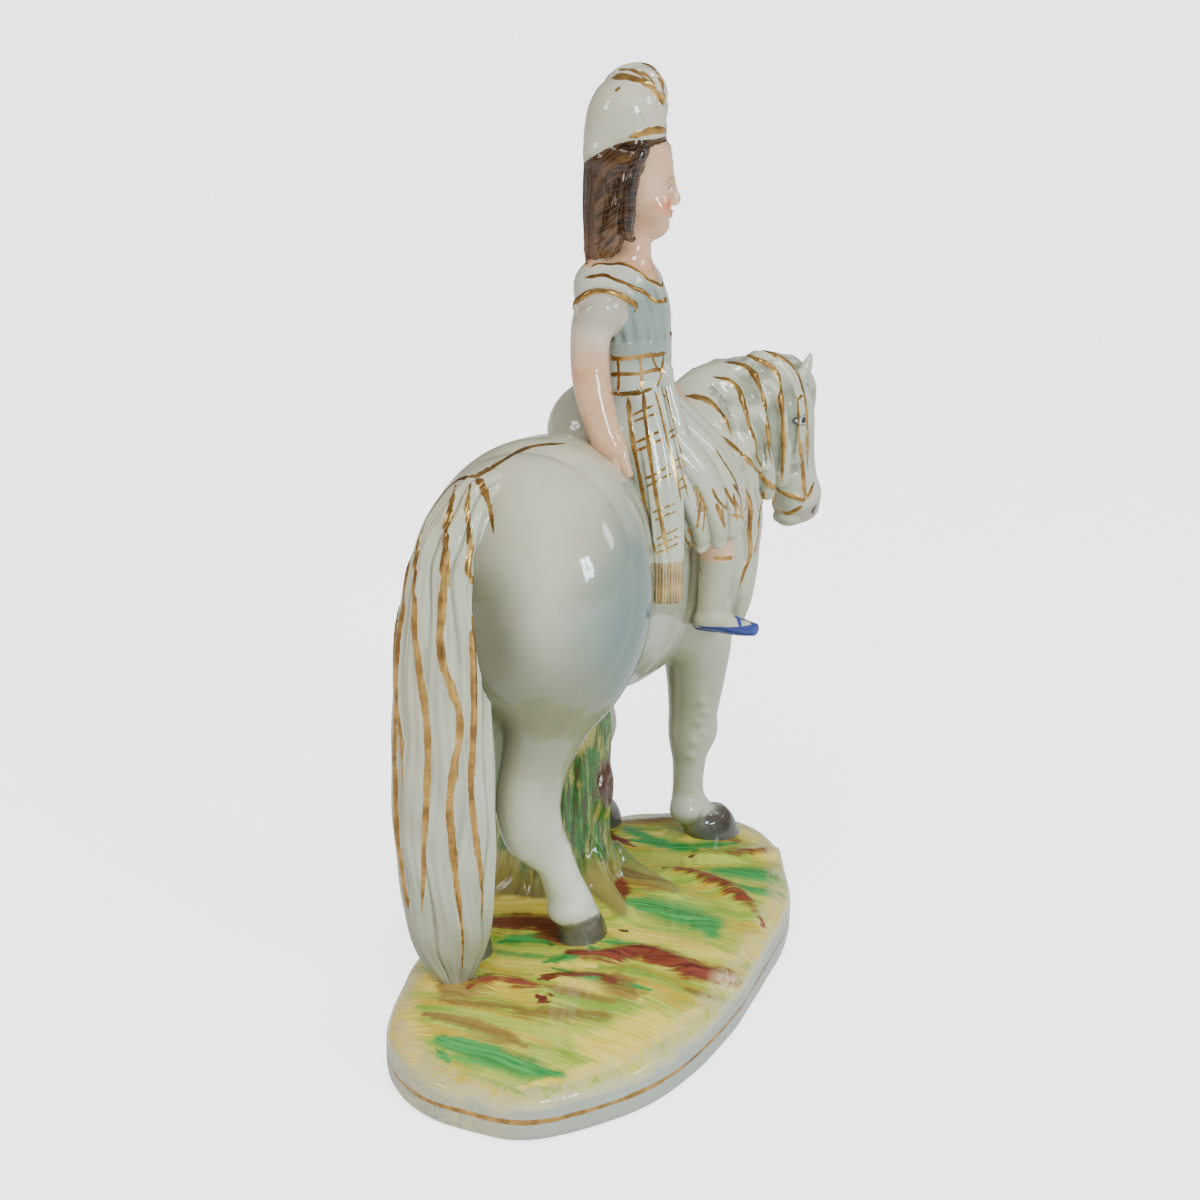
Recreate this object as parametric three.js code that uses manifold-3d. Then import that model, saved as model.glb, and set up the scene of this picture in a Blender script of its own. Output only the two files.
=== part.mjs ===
// Glazed pottery figure: a rider seated sideways on a standing pony, on an oval mound with a tree stump
// under the belly. It is cast and fired as one piece, so it is one solid.
// Millimetres. +X is the way the pony faces, -Y is the display side that the rider faces, +Z is up.
// The origin is the middle of the flat underside.
import * as THREE from "three";
import { mergeVertices } from "three/addons/utils/BufferGeometryUtils.js";
import Module from "manifold-3d";

// ---------------------------------------------------------------- driving sizes
const BASE_HALF_LENGTH = 95; // oval foot, along X
const BASE_HALF_DEPTH = 45.8; // oval foot, along Y
const WALL_HEIGHT = 10.5; // plain white wall of the base
const GROUND = 16.5; // height of the painted ground
const MID_Y = 11; // the pony stands towards the back of the base
const TOTAL_HEIGHT = 250; // top of the cap
const TAIL_FLUTES = 9; // locks of the tail
const FACE_TURN = 0.35; // the rider's face turns this far from the display side, in radians
const FINE = 1.0; // multiplies the ring counts

// Tables: each row is a station [x, y, z, half width along the side vector, half depth across it].
const TRUNK = [
  [-46, 12, 124, 8, 9], [-44, 12, 124, 15.4, 17.6], [-38.5, 12, 123.5, 23.6, 26.6], [-30, 12, 122.5, 29, 32.5],
  [-19, 12.4, 120.5, 31.2, 36.5], [-6, 12.4, 118, 28.4, 37], [8, 11.8, 115.5, 25.8, 36], [26, 10.8, 114.5, 24.6, 35.5],
  [42, 9.4, 115, 24, 35.5], [56, 7, 117, 23.2, 34], [67, 4, 118, 21.2, 30], [77, 1.4, 118.5, 16.4, 22.8],
  [83, 0, 119, 8.5, 12],
];
const NECK = [
  [50, 4.5, 122, 20, 24], [60, 1.5, 128, 19, 25], [70, -3, 134.5, 16.5, 24], [79.5, -8.5, 140.5, 13.6, 21],
  [88, -14, 145, 11, 15.5], [94, -18, 147, 8.5, 10.5],
];
const HEAD = [
  [93, -18.5, 153, 6.5, 7], [95, -19.4, 148.5, 7.6, 9.6], [97.5, -20.6, 141, 8, 11.6], [99, -21.4, 133, 7.6, 11.2],
  [101, -22.8, 125.5, 6.5, 9], [103, -24.2, 118.5, 6, 7.6], [104.8, -25.2, 113.5, 6.4, 7.4], [105.8, -25.8, 109.5, 5, 5.8],
];
const HIND_R = [
  [-13, 7, 128, 13, 17], [-15, 4, 112, 18.6, 23.5], [-19, 4.8, 96, 17.3, 22], [-21.5, 7, 83, 13, 16.6],
  [-24.5, 9.4, 71, 10.4, 12.8], [-27, 10.6, 61, 9.6, 11], [-27, 10.4, 53, 9, 9.5], [-23, 8, 44.5, 6.4, 6.8],
  [-18, 5.8, 36, 5.9, 6.2], [-14, 4, 29, 6.9, 7.1], [-11.5, 2.8, 23.5, 6.5, 7], [-9.5, 1.9, 18.5, 7.2, 8.2],
  [-9, 1.6, 13, 7.4, 8.6],
];
const HIND_L = [
  [-13, 19, 128, 14, 18], [-17, 21.5, 112, 16.6, 22.5], [-22, 22.5, 96, 14, 20], [-27, 23, 82, 10.5, 15],
  [-31.5, 23.5, 70, 8.6, 12], [-35, 24, 60, 8.4, 10.4], [-35.5, 24, 52, 8, 9], [-34, 23.8, 44, 6.2, 7],
  [-33, 23.5, 36, 6, 6.4], [-32, 23, 29, 6.8, 7], [-31, 22.4, 23.5, 6.4, 7], [-29.5, 21.8, 18.5, 7.2, 8.2],
  [-29, 21.6, 13, 7.4, 8.6],
];
const FORE_R = [
  [58, 0, 116, 11, 13], [62, -5, 96, 12.6, 15.5], [63.5, -7, 82, 11.2, 12], [64.5, -6.8, 70, 9.4, 9.6],
  [65.5, -5.4, 58, 7.6, 7.8], [66, -4.2, 49, 6.6, 7], [66.5, -3.8, 41, 5.2, 5.6], [67, -3.4, 33, 4.6, 5.2],
  [68, -3.6, 27, 5.2, 5.8], [70, -5.4, 22, 5.8, 6.4], [72.4, -8.6, 17.5, 7.2, 7.6], [73.2, -9.6, 12.5, 7.6, 8],
];
const FORE_L = [
  [55, 12, 116, 9, 12], [58, 16.4, 96, 10.2, 14], [59, 19.4, 82, 9, 11], [60, 20.8, 70, 7.8, 9],
  [60.5, 21.4, 58, 6.6, 7.4], [61, 21.6, 49, 6.2, 7], [61, 21.8, 41, 5, 5.6], [61.5, 22, 33, 4.6, 5.2],
  [62.5, 22, 27, 5.2, 5.8], [64.5, 22, 22, 5.6, 6.4], [66.8, 22, 17.5, 7, 7.8], [67.5, 22, 12.5, 7.4, 8.2],
];
const TAIL = [
  [-30, 19, 148, 5, 6], [-37.5, 23, 145, 6.6, 6.2], [-41.2, 26, 137, 8.2, 6.6], [-42.8, 28, 127, 10, 6.8],
  [-43.4, 29.3, 110, 12.2, 7.2], [-43.6, 29.9, 90, 13.8, 7.8], [-43.6, 29.6, 66, 14.4, 8.2], [-43.6, 29, 47, 13.5, 8.2],
  [-43.8, 28.2, 30, 11.2, 7.4], [-44.2, 26.6, 20, 7, 5.4], [-45, 25.2, 14, 3.4, 3.4],
];
const STUMP = [
  [25, 18.5, 11, 20.5, 20], [25, 20, 17, 18.6, 17], [25, 21.2, 25, 16.2, 14], [25, 21.6, 38, 14.8, 12],
  [25, 21.6, 55, 14.4, 11.8], [25, 20.6, 71, 14.8, 12.8], [25, 16.5, 88, 10, 12],
];
// Locks of the mane over the right side of the neck, the left side, and the long locks beside the chest.
const MANE_R = [
  [[62, -6, 149.5, 3.4, 2.6], [67, -11, 147, 4.4, 3.2], [70, -15, 139, 4.6, 3.4], [73, -18, 128, 4, 3], [76, -19, 120, 2.6, 2.2]],
  [[69, -9, 154.5, 3.6, 2.8], [74.5, -14, 152, 4.8, 3.4], [78, -19, 143, 4.8, 3.6], [80, -21, 131, 4.2, 3.2], [83, -21.5, 120, 2.6, 2.2]],
  [[77, -12, 158, 3.6, 2.8], [81.5, -17, 155.5, 4.8, 3.6], [84, -22, 148, 4.8, 3.8], [86, -24, 136, 4.2, 3.4], [88, -24, 123, 2.8, 2.4]],
  [[85, -16.5, 158.8, 3.6, 2.8], [88.5, -21, 156.5, 4.4, 3.4], [91, -25, 149, 4.2, 3.4], [93, -26.5, 138, 3.6, 3], [94, -26, 127, 2.4, 2]],
];
const MANE_L = [
  [[60, 3, 148.5, 3.2, 2.4], [64, 11, 144.5, 4.4, 3], [66.5, 15.5, 135, 4.2, 3], [69, 16.5, 124, 2.8, 2.2]],
  [[69, -2, 154, 3.2, 2.4], [74.5, 5.5, 150, 4.4, 3], [77.5, 9, 140, 4.2, 3], [80, 9.5, 129, 2.8, 2.2]],
  [[79, -7, 157, 3.2, 2.4], [84.5, -1, 153.5, 4.4, 3], [88, 1.5, 144, 4.2, 3], [90, 0.5, 133, 2.8, 2.2]],
];
const CHEST_LOCKS = [
  [[66, -13, 134, 3, 2.4], [69, -19, 122, 3.8, 2.6], [70.5, -20, 108, 3.8, 2.6], [68.5, -19.5, 95, 3.2, 2.4], [68, -18, 86, 1.8, 1.6]],
  [[73, -14, 130, 3, 2.4], [76, -19.5, 118, 3.6, 2.6], [76.5, -19.5, 105, 3.6, 2.6], [74, -18.5, 93, 2.6, 2.2], [73, -17, 85, 1.6, 1.4]],
];

// ---- rider
const TORSO = [
  [20.5, 1, 157, 14, 12], [20.8, -1.2, 164, 11.6, 9.8], [21, -2.2, 171, 10.2, 8.8], [21, -2.4, 178, 10.8, 8.8],
  [20.6, -2.2, 184.5, 12.4, 9.2], [20.2, -1.2, 190.5, 13.8, 8], [20, -0.4, 195.5, 11, 6.4], [20, 0, 199, 6, 4.8],
];
const NECK_R = [[20, 0, 195, 5.2, 5.2], [20.4, -1.2, 202, 4.6, 4.8], [21, -2, 210, 4.6, 5]];
const SKIRT = [
  [20, 2, 159, 12, 9.6], [22.6, -4.4, 154, 14.4, 10.4], [26, -10.6, 147.2, 16, 10], [29, -16, 140, 16.6, 9.6],
  [31.2, -19.2, 132.6, 16.4, 9], [32.4, -20.4, 127, 15.6, 8.2], [32.8, -20.6, 124, 14.8, 7.6],
];
const ARM_R = [
  [9, 1.5, 191, 5.4, 5.4], [6.4, 4, 185.5, 5.6, 5.8], [5, 5, 179, 5, 5.2], [3.8, 4.4, 171, 4.9, 5], [2.6, 2.6, 163.5, 4.7, 4.8],
  [1.8, 0.2, 157, 4.2, 4.3], [1.6, -1.8, 153, 4, 4],
];
const ARM_L = [
  [31.5, 0.5, 191, 5.2, 5.2], [34.5, 3, 185, 5.4, 5.6], [37, 4, 178, 4.8, 5], [40, 3.2, 170.5, 4.5, 4.6],
  [44, 0.8, 162.5, 4, 4.2], [48, -2.6, 155.5, 3.5, 3.7],
];
const LEG_R = [[31.6, -21.6, 124, 5, 5.2], [31.8, -22, 116, 4.5, 4.8], [32, -21.4, 108, 4.1, 4.5], [32, -20.6, 101, 3.4, 3.8], [32, -20.4, 97, 3.3, 3.5]];
const LEG_L = [[42, -17, 122, 4.8, 4.8], [42.4, -17.4, 113, 4.3, 4.5], [42.6, -17, 104, 4, 4.2], [42.6, -16.2, 96, 3.3, 3.5], [42.6, -16, 92, 3.2, 3.4]];
const SASH = [
  [13.4, -6, 167, 4.2, 4.4], [12.4, -8.4, 160, 4.8, 4.8], [11.6, -11, 150, 5, 5], [11, -12.6, 139, 4.6, 5],
  [10.4, -13.4, 128, 4.2, 4.4], [10, -13.8, 119, 3.8, 4], [10, -13.8, 110, 3.6, 3.6],
];
const KNOT_END = [[19.5, -10.6, 169, 1.8, 2], [18.8, -12.8, 161, 2.4, 3], [18, -15.6, 152, 2.6, 3.2], [17.4, -18.6, 143, 2.6, 3], [17.2, -20.8, 134, 2.4, 2.6]];
const FACE = [
  [22.6, -6.4, 205.6, 2.6, 2.2], [22.3, -5.4, 208, 5, 4.8], [21.9, -4.2, 211.6, 6.9, 7], [21.4, -3.2, 216, 8, 8.6],
  [21, -2.6, 221, 8.6, 9.2], [20.8, -2.2, 227, 8.6, 9],
];
const HAIR = [
  [20, 3, 229, 9, 8], [20, 4.6, 222, 10.6, 8.4], [20, 5.6, 214, 10.4, 7.4], [20, 6, 206, 9.8, 6], [20, 6, 199, 8, 4.2], [20, 5.4, 195, 5, 2.6],
];
const HAT = [
  [21, 1.6, 226, 11, 11.2], [21, 1.6, 231, 11.4, 11.8], [21, 1.4, 236.5, 11.2, 11.6], [21.2, 0.6, 241.5, 9.6, 10],
  [21.4, -1.4, 245.5, 6.6, 6.8],
];
const PLUME = [
  [21.4, 4.6, 246, 3, 2.2], [21.6, 0, 248.3, 3.8, 2], [21.8, -4.6, 247.3, 3.8, 2.2], [22, -8.2, 243.5, 3.2, 2], [22, -9.8, 238.5, 2, 1.6],
];

// ---------------------------------------------------------------- mesh helpers
const V = (x, y, z) => new THREE.Vector3(x, y, z);

// Catmull-Rom value through the rows of one column of a table.
function column(rows, k, t) {
  const n = rows.length - 1;
  const u = Math.min(Math.max(t, 0), 1) * n;
  const i = Math.min(Math.floor(u), n - 1);
  const f = u - i;
  const p0 = rows[Math.max(i - 1, 0)][k], p1 = rows[i][k], p2 = rows[i + 1][k], p3 = rows[Math.min(i + 2, n)][k];
  return 0.5 * (2 * p1 + (p2 - p0) * f + (2 * p0 - 5 * p1 + 4 * p2 - p3) * f * f + (3 * p1 - p0 - 3 * p2 + p3) * f * f * f);
}

// Closed surface through rings of points, with a pole at each end.
function loft(rings, first, last) {
  const n = rings[0].length;
  const pos = [];
  for (const r of rings) for (const p of r) pos.push(p.x, p.y, p.z);
  const a = rings.length * n, b = a + 1;
  pos.push(first.x, first.y, first.z, last.x, last.y, last.z);
  const index = [];
  for (let i = 0; i + 1 < rings.length; i++)
    for (let j = 0; j < n; j++) {
      const k = (j + 1) % n, p = i * n + j, q = i * n + k, r = (i + 1) * n + j, s = (i + 1) * n + k;
      index.push(p, q, r, q, s, r);
    }
  const top = (rings.length - 1) * n;
  for (let j = 0; j < n; j++) {
    const k = (j + 1) % n;
    index.push(a, k, j);
    index.push(b, top + j, top + k);
  }
  const g = new THREE.BufferGeometry();
  g.setAttribute("position", new THREE.Float32BufferAttribute(pos, 3));
  g.setIndex(index);
  return g;
}

// Elliptical limb through a table of stations. `side` is the direction of the half width. `flute(angle, t)`
// scales the section, and `cap` rounds the two ends by that share of their smaller radius.
function sweep(rows, side, { sides = 16, steps = rows.length - 1, cap = [0.7, 0.7], flute = null } = {}) {
  steps = Math.round(steps * FINE);
  const at = (t) => V(column(rows, 0, t), column(rows, 1, t), column(rows, 2, t));
  const rings = [];
  const frame = (t) => {
    const e = 1e-3;
    const dir = at(Math.min(t + e, 1)).sub(at(Math.max(t - e, 0))).normalize();
    const s = side.clone().addScaledVector(dir, -side.dot(dir)).normalize();
    return { dir, s, u: V(0, 0, 0).crossVectors(dir, s) };
  };
  const ringAt = (t, scale, shift) => {
    const { dir, s, u } = frame(t);
    const c = at(t).addScaledVector(dir, shift);
    const a = column(rows, 3, t) * scale, b = column(rows, 4, t) * scale;
    return Array.from({ length: sides }, (_, j) => {
      const w = (2 * Math.PI * j) / sides;
      const m = flute ? flute(w, t) : 1;
      return c.clone().addScaledVector(s, a * m * Math.cos(w)).addScaledVector(u, b * m * Math.sin(w));
    });
  };
  const endRadius = (t) => Math.min(column(rows, 3, t), column(rows, 4, t));
  const r0 = endRadius(0) * cap[0], r1 = endRadius(1) * cap[1];
  if (cap[0] > 0) rings.push(ringAt(0, 0.72, -0.7 * r0));
  for (let i = 0; i <= steps; i++) rings.push(ringAt(i / steps, 1, 0));
  if (cap[1] > 0) rings.push(ringAt(1, 0.72, 0.7 * r1));
  const f0 = frame(0).dir, f1 = frame(1).dir;
  return loft(rings, at(0).addScaledVector(f0, -r0), at(1).addScaledVector(f1, r1));
}

// Ball stretched to three radii and turned by Euler angles in degrees.
function ball(centre, radii, turn = [0, 0, 0], w = 14, h = 9) {
  const g = new THREE.SphereGeometry(1, w, h);
  g.rotateX(Math.PI / 2);
  g.scale(...radii);
  const rad = turn.map((d) => (d * Math.PI) / 180);
  g.applyMatrix4(new THREE.Matrix4().makeRotationFromEuler(new THREE.Euler(...rad, "XYZ")));
  g.translate(...centre);
  return g;
}

// ---------------------------------------------------------------- base: oval foot, wall and rolling ground
function groundHeight(x, y) {
  const r = Math.hypot(x / BASE_HALF_LENGTH, y / BASE_HALF_DEPTH);
  const roll = 0.9 * Math.sin(x / 11 + y / 17) + 0.5 * Math.sin(x / 23 - y / 9 + 1.3);
  return GROUND + roll * Math.max(0, 1 - r) * 1.4 + 1.2 * (1 - r * r);
}
// Radius of the oval at an angle, as a share of the plain ellipse: a little squarer, with a soft wave.
function outlineScale(w) {
  const square = 1 / (Math.abs(Math.cos(w)) ** 2.3 + Math.abs(Math.sin(w)) ** 2.3) ** (1 / 2.3);
  return square * (1 + 0.008 * Math.cos(3 * w + 0.6) + 0.008 * Math.cos(7 * w + 1.9) + 0.004 * Math.cos(11 * w));
}
function base() {
  const n = 40;
  const profile = [[0, 0.955], [1.2, 0.985], [WALL_HEIGHT * 0.75, 0.99], [WALL_HEIGHT + 1.2, 1.014], [WALL_HEIGHT + 3.6, 0.99]];
  const rings = profile.map(([z, s]) =>
    Array.from({ length: n }, (_, j) => {
      const w = (2 * Math.PI * j) / n;
      const k = s * outlineScale(w);
      return V(BASE_HALF_LENGTH * k * Math.cos(w), BASE_HALF_DEPTH * k * Math.sin(w), z);
    }),
  );
  for (const s of [0.88, 0.68, 0.38])
    rings.push(
      Array.from({ length: n }, (_, j) => {
        const w = (2 * Math.PI * j) / n, k = s * outlineScale(w);
        const x = BASE_HALF_LENGTH * k * Math.cos(w), y = BASE_HALF_DEPTH * k * Math.sin(w);
        return V(x, y, groundHeight(x, y) - (s > 0.85 ? 1.6 : 0));
      }),
    );
  return loft(rings, V(0, 0, 0), V(0, 0, groundHeight(0, 0)));
}

const X = V(1, 0, 0), Y = V(0, 1, 0);
const fold = (n, d, phase = 0) => (w, t) => 1 + d * Math.cos(n * w + phase + 1.5 * t);
const pieces = {
  base: base(),
  trunk: sweep(TRUNK, Y, { sides: 20, steps: 12, cap: [0.08, 0.12] }),
  neck: sweep(NECK, V(0.5, 0.86, 0), { sides: 14, steps: 5 }),
  head: sweep(HEAD, V(0.469, 0.883, 0), { sides: 12, steps: 7 }),
  earR: sweep([[95, -24.4, 149, 2.4, 1.8], [96.6, -26.4, 154.5, 2, 1.5], [97.8, -27.8, 158.4, 0.8, 0.7]], V(0.9, -0.4, 0), { sides: 6, steps: 2 }),
  earL: sweep([[97, -15.5, 149, 2.4, 1.8], [97.6, -14.2, 153.5, 2, 1.5], [98, -13.4, 157, 0.8, 0.7]], V(0.9, -0.4, 0), { sides: 6, steps: 2 }),
  forelock: sweep([[92, -19, 155.5, 3.4, 2.6], [101, -22.5, 154.5, 3.8, 2.6], [106.5, -25.6, 148, 3.4, 2.4], [108.4, -26.6, 140, 1.8, 1.6]], V(0.469, 0.883, 0), { sides: 8, steps: 4 }),
  hindR: sweep(HIND_R, Y, { sides: 12, steps: 11, cap: [0.2, 0.1] }),
  hindL: sweep(HIND_L, Y, { sides: 8, steps: 10, cap: [0.2, 0.1] }),
  foreR: sweep(FORE_R, Y, { sides: 10, steps: 9, cap: [0.2, 0.1] }),
  foreL: sweep(FORE_L, Y, { sides: 8, steps: 9, cap: [0.2, 0.1] }),
  tail: sweep(TAIL, Y, { sides: 27, steps: 7, flute: fold(TAIL_FLUTES, 0.045) }),
  stump: sweep(STUMP, Y, { sides: 20, steps: 5, cap: [0.01, 0.1], flute: fold(6, 0.05) }),
  torso: sweep(TORSO, X, { sides: 16, steps: 6, flute: (w, t) => 1 + 0.03 * Math.cos(10 * w) * (t > 0.3 && t < 0.75 ? 1 : 0) }),
  neckR: sweep(NECK_R, X, { sides: 10, steps: 2 }),
  face: sweep(FACE, V(Math.cos(FACE_TURN), Math.sin(FACE_TURN), 0), { sides: 14, steps: 6, cap: [0.5, 0.4] }),
  nose: ball([24, -10.9, 215.4], [1.7, 2.1, 3.2], [-14, 0, 20], 6, 5),
  hair: sweep(HAIR, X, { sides: 18, steps: 3, flute: fold(10, 0.03) }),
  hat: sweep(HAT, X, { sides: 14, steps: 5, cap: [0.15, 0.6] }),
  plume: sweep(PLUME, X, { sides: 8, steps: 5 }),
  skirt: sweep(SKIRT, X, { sides: 27, steps: 5, cap: [0.6, 0.35], flute: (w, t) => 1 + 0.05 * t * Math.cos(9 * w) }),
  skirtBack: ball([20.5, 6.6, 152], [17.5, 15, 14], [0, 0, 0], 14, 6),
  sleeveR: ball([8, 2.6, 188.4], [7.4, 6.6, 7.6], [0, -24, 0], 12, 7),
  sleeveL: ball([32.6, 1.2, 188.4], [7.4, 6.6, 7.6], [0, 24, 0], 12, 7),
  armR: sweep(ARM_R, X, { sides: 9, steps: 5 }),
  armL: sweep(ARM_L, X, { sides: 8, steps: 3 }),
  handR: ball([1.8, -4.2, 149.2], [4.2, 6, 4], [38, 0, 0], 8, 5),
  handL: ball([50.4, -5.6, 151.4], [3.8, 4.4, 4.2], [30, 0, 0], 8, 5),
  legR: sweep(LEG_R, X, { sides: 8, steps: 3, cap: [0.3, 0.3] }),
  legL: sweep(LEG_L, X, { sides: 8, steps: 3, cap: [0.3, 0.3] }),
  shoeR: sweep([[32, -18.6, 96.8, 3, 2.6], [32, -22.6, 97.2, 3.5, 3], [32, -28.2, 96.4, 3.5, 2.4], [32, -33, 96.2, 2.4, 1.8]], X, { sides: 8, steps: 3 }),
  shoeL: sweep([[42.6, -14, 92.8, 3, 2.6], [42.6, -18, 93.2, 3.5, 3], [42.6, -23.4, 92.4, 3.5, 2.4], [42.6, -28, 92.2, 2.4, 1.8]], X, { sides: 8, steps: 3 }),
  belt: sweep([[20.8, -1.6, 165.5, 11.6, 9.8], [20.8, -1.8, 171.5, 10.8, 9.2], [20.8, -1.9, 177.5, 11.2, 9.1]], X, { sides: 16, steps: 1, cap: [0.05, 0.05] }),
  sash: sweep(SASH, V(0.35, -0.9, 0.1), { sides: 6, steps: 6, cap: [0.5, 0.5] }),
  knot: ball([19.6, -10.2, 169], [2.6, 2, 3], [0, 0, 0], 8, 5),
  knotEnd: sweep(KNOT_END, V(0.9, -0.3, 0), { sides: 6, steps: 4 }),
};
MANE_R.forEach((rows, i) => (pieces["maneR" + i] = sweep(rows, V(0.8, 0.3, 0.2), { sides: 6, steps: 4 })));
MANE_L.forEach((rows, i) => (pieces["maneL" + i] = sweep(rows, V(0.8, 0.3, 0.2), { sides: 6, steps: 4 })));
CHEST_LOCKS.forEach((rows, i) => (pieces["chest" + i] = sweep(rows, V(1, 0, 0), { sides: 6, steps: 4 })));

// ---------------------------------------------------------------- join and export
const wasm = await Module();
wasm.setup();
function solid(geometry) {
  const g = geometry.clone();
  for (const k of Object.keys(g.attributes)) if (k !== "position") g.deleteAttribute(k);
  const m = mergeVertices(g, 1e-4);
  return new wasm.Manifold(
    new wasm.Mesh({ numProp: 3, vertProperties: m.attributes.position.array, triVerts: new Uint32Array(m.index.array) }),
  );
}
let whole = null;
for (const g of Object.values(pieces)) {
  const s = solid(g);
  whole = whole ? whole.add(s) : s;
}
const joined = whole.getMesh();
const geometry = new THREE.BufferGeometry();
geometry.setAttribute("position", new THREE.BufferAttribute(new Float32Array(joined.vertProperties), 3));
geometry.setIndex(new THREE.BufferAttribute(new Uint32Array(joined.triVerts), 1));
geometry.computeVertexNormals();
const glaze = new THREE.MeshStandardMaterial({ color: 0xe9e7dc, roughness: 0.12, metalness: 0 });
const figurine = new THREE.Mesh(geometry, glaze);
figurine.name = "figurine";
const part = new THREE.Group();
part.add(figurine);
export default part;
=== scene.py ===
# Looks of a glazed pottery figure: a rider seated sideways on a standing pony, on a painted oval mound.
# Work is in millimetres and is turned into metres when a mesh is made. Frame: origin at the middle of the flat
# underside, +X the way the pony faces, -Y the display side, +Z up.
import math
from concurrent.futures import ThreadPoolExecutor

import bpy
import numpy as np
from mathutils import Matrix, Vector
from mathutils.bvhtree import BVHTree


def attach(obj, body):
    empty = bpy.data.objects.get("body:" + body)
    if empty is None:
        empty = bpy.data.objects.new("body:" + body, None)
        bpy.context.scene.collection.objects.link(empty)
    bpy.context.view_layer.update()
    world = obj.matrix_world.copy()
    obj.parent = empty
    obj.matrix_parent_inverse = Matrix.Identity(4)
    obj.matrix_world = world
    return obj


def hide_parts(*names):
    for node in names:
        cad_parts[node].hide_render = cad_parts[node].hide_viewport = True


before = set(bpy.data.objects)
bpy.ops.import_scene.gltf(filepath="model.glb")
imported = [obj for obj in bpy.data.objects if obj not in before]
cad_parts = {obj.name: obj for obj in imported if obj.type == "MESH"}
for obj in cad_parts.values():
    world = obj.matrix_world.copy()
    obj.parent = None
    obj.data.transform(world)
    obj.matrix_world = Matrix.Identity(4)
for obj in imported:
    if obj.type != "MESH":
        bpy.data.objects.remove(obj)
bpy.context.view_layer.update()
CELL = 0.46  # grid of the surfaces, mm
F32 = np.float32

# ------------------------------------------------------------------ viewing point
PHI, DIST, EYE_Z, FOCAL, PITCH, YAW = math.radians(19.60), 650.0, 324.0, 2576.0, math.radians(18.16), 0.0007
EYE = np.array([-DIST * math.cos(PHI), -DIST * math.sin(PHI), EYE_Z])
AZ = PHI + YAW
FWD = np.array([math.cos(AZ) * math.cos(PITCH), math.sin(AZ) * math.cos(PITCH), -math.sin(PITCH)])
RIGHT = np.array([math.sin(AZ), -math.cos(AZ), 0.0])
UP = np.cross(RIGHT, FWD)

cam_data = bpy.data.cameras.new("view")
cam_data.sensor_width = 36.0
cam_data.sensor_fit = "HORIZONTAL"
cam_data.lens = 77.28
cam_data.clip_start = 0.01
cam_data.clip_end = 50
cam = bpy.data.objects.new("view", cam_data)
bpy.context.scene.collection.objects.link(cam)
cam.matrix_world = Matrix((
    (RIGHT[0], UP[0], -FWD[0], EYE[0] / 1000),
    (RIGHT[1], UP[1], -FWD[1], EYE[1] / 1000),
    (RIGHT[2], UP[2], -FWD[2], EYE[2] / 1000),
    (0, 0, 0, 1)))
bpy.context.scene.camera = cam


# ------------------------------------------------------------------ shapes as distance functions
def catmull(rows, per):
    """Rows of a table, resampled on a smooth curve with `per` samples in each span."""
    rows = np.asarray(rows, float)
    n = len(rows) - 1
    t = np.linspace(0, n, n * per + 1)
    i = np.minimum(t.astype(int), n - 1)
    f = (t - i)[:, None]
    p0, p1, p2, p3 = rows[np.maximum(i - 1, 0)], rows[i], rows[i + 1], rows[np.minimum(i + 2, n)]
    return 0.5 * (2 * p1 + (p2 - p0) * f + (2 * p0 - 5 * p1 + 4 * p2 - p3) * f * f + (3 * p1 - p0 - 3 * p2 + p3) * f ** 3)


def smin(a, b, k):
    h = np.maximum(k - np.abs(a - b), 0) / k
    return np.minimum(a, b) - h * h * k * 0.25


def smax(a, b, k):
    return -smin(-a, -b, k)


def step(a, b, x):
    t = np.clip((x - a) / (b - a), 0, 1)
    return t * t * (3 - 2 * t)


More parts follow.
